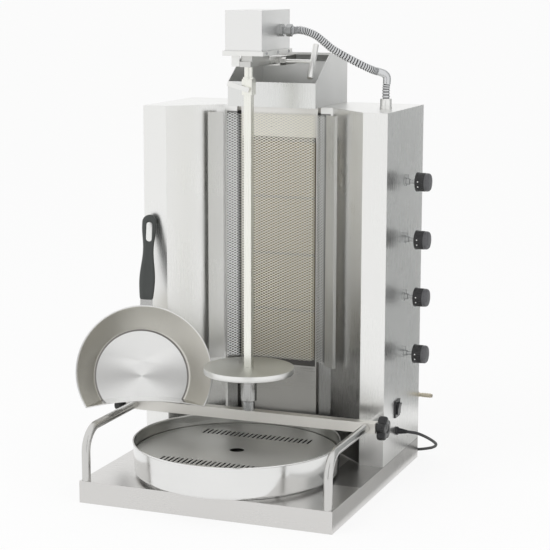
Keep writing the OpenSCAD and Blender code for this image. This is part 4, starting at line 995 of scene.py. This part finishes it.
def makeHandle():
    h, around = handle, handle["around"]
    roundAt = h["length"] - h["end"]
    stations = [(i / h["steps"] * roundAt, gripWidth(i / h["steps"])) for i in range(h["steps"] + 1)]
    stations += [(roundAt + h["end"] * math.sin(a), h["end"] * math.cos(a)) for a in map(math.radians, range(8, 89, 8))]
    verts = []
    for y, half in stations:
        high = h["thick"] / 2 * min(1, 0.55 + half / h["end"] * 0.6)
        if y < 3:
            half, high = half - (3 - y) * 0.5, high - (3 - y) * 0.5
        for k in range(around):
            a = 2 * math.pi * k / around
            x, z = half * squared(math.cos(a), h["square"][0]), high * squared(math.sin(a), h["square"][1])
            verts.append((x * mm, y * mm, z * mm))
    body = addMesh("hand_pan_handle", verts, ringFaces(len(stations), around))
    # hanging slot with eased edges
    lowY, highY, r = h["length"] - h["slotFrom"], h["length"] - h["slotTo"], h["slotWidth"] / 2
    slot = [(r * math.cos(a), highY + r * math.sin(a)) for a in map(math.radians, range(0, 181, 12))]
    slot += [(r * math.cos(a), lowY + r * math.sin(a)) for a in map(math.radians, range(180, 361, 12))]
    cut = []
    for z, grow in h["cut"]:
        for x, y in slot:
            mid = lowY if y < lowY else highY if y > highY else y
            way = Vector((x, y - mid)).normalized() * grow
            cut.append(((x + way[0]) * mm, (y + way[1]) * mm, z * mm))
    carve(body, addMesh("slot_cutter", cut, ringFaces(len(h["cut"]), len(slot))))
    sharpEdges(body, 50)
    place = handPanPlace @ Matrix.Translation((0, handPan["rim"] * mm, (handPan["depth"] - h["drop"]) * mm))
    place = place @ Matrix.Rotation(math.radians(h["rise"]), 4, "X") @ Matrix.Translation((0, h["tang"] * mm, 0))
    body.matrix_world = place
    return paint(body, finish["handle"])


panHandle = makeHandle()
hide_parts("catch_handle")
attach(panHandle, "hand_pan")
print("catch pan and handle")

# small screws on the motor tray

smallScrew = dict(radius=3.2, height=1.8, shank=1.6, x=44.2, y=(-55, 8, 70), z=912.5)


def makeScrew(name, place):
    # domed head with a recess in its middle
    r, h, shank = smallScrew["radius"], smallScrew["height"], smallScrew["shank"]
    head = lathe(name, scaled([(0, -2), (shank, -2), (shank, 0), (r, 0), (r, h * 0.35), (r * 0.82, h * 0.8),
                               (r * 0.5, h), (r * 0.42, h * 0.45), (0, h * 0.4)]), 32)
    head.matrix_world = place
    return paint(head, finish["zinc"])


for count, y in enumerate(smallScrew["y"]):
    for side in (-1, 1):
        place = placed(side * smallScrew["x"], y, smallScrew["z"], 90 * side)
        piece = makeScrew("tray_screw_%d_%d" % (count, side + 1), place)
        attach(piece, "drive")
print("screws")

# CAD meshes that stay: crisp edges

for name, obj in nodes.items():
    if not obj.hide_render:
        sharpEdges(obj, 28)

# floor, cards, light

studio = dict(
    floor=(0.95, 0.95, 0.945), floorHalf=90, glow=0.84, sky=0.82, aim=(0, 0, 0.45),
    cards=[("back_right_card", (0.48, 0.49, 0.49),
            [(0.36, 0.72, 0.0), (2.4, 0.55, 0.0), (2.4, 0.55, 2.2), (0.36, 0.72, 2.2)]),
           ("front_dark_card", (0.16, 0.16, 0.16),
            [(0.36, -1.2, 0.0), (0.56, -1.2, 0.0), (0.56, -1.2, 1.6), (0.36, -1.2, 1.6)]),
           ("low_right_card", (0.62, 0.62, 0.61),
            [(0.285, -0.27, 0.002), (0.4, -0.27, 0.002), (0.4, 0.55, 0.002), (0.285, 0.55, 0.002)])],
    # name, place, watts, size
    lamps=[("key_light", (-1.6, -2.4, 2.6), 26, 2.2), ("fill_light", (2.2, -1.4, 1.6), 9, 1.8)])


def cameraSees(tree, links):
    # 1 for what the camera sees straight, in a mirror or through glass
    rays = tree.new("ShaderNodeLightPath").outputs
    either = calc(tree, links, "ADD", rays["Is Camera Ray"], rays["Is Glossy Ray"], clamp=True)
    return calc(tree, links, "ADD", either, rays["Is Transmission Ray"], clamp=True)


def makeStudio():
    world = bpy.data.worlds.new("studio")
    bpy.context.scene.world = world
    world.use_nodes = True
    tree, links = world.node_tree.nodes, world.node_tree.links
    back = tree["Background"]
    strength = remap(tree, links, cameraSees(tree, links), studio["sky"], 1.0, 0, 1)
    links.new(strength, back.inputs["Strength"])
    back.inputs["Color"].default_value = (1, 1, 1, 1)

    mat, tree, links, shader = startMaterial("floor_paper", studio["floor"], 0.0, 0.9)
    shader.inputs["Specular IOR Level"].default_value = 0.1
    grain = noise(tree, links, tree.new("ShaderNodeTexCoord").outputs["Object"], 300)
    bumpFrom(tree, links, shader, grain, 0.00005, 0.2)
    glow = tree.new("ShaderNodeEmission")
    glow.inputs["Color"].default_value = (1, 1, 1, 1)
    mix = tree.new("ShaderNodeMixShader")
    links.new(remap(tree, links, cameraSees(tree, links), 0, studio["glow"], 0, 1), mix.inputs["Fac"])
    links.new(shader.outputs["BSDF"], mix.inputs[1])
    links.new(glow.outputs["Emission"], mix.inputs[2])
    links.new(mix.outputs["Shader"], tree["Material Output"].inputs["Surface"])
    far = studio["floorHalf"]
    corners = [(-far, -far, 0), (far, -far, 0), (far, far, 0), (-far, far, 0)]
    floor = paint(addMesh("floor", corners, [(0, 1, 2, 3)]), mat)


def makeCard(name, shade, corners):
    # a grey studio card that only shows in reflections
    mat, tree, links, shader = startMaterial(name, shade, 0.0, 1.0)
    card = paint(addMesh(name, corners, [(0, 1, 2, 3)]), mat)
    card.visible_camera = card.visible_diffuse = card.visible_shadow = False


def makeLamp(name, at, power, size):
    data = bpy.data.lights.new(name, "AREA")
    data.energy, data.size = power, size
    lamp = bpy.data.objects.new(name, data)
    lamp.visible_glossy = False  # steel shows the cards and the white room, not the lamps
    bpy.context.scene.collection.objects.link(lamp)
    lamp.location = at
    lamp.rotation_mode = "QUATERNION"
    lamp.rotation_quaternion = (Vector(studio["aim"]) - Vector(at)).to_track_quat("-Z", "Y")


makeStudio()
for card in studio["cards"]:
    makeCard(*card)
for lamp in studio["lamps"]:
    makeLamp(*lamp)
bpy.context.scene.view_settings.view_transform = "Standard"
print("studio")
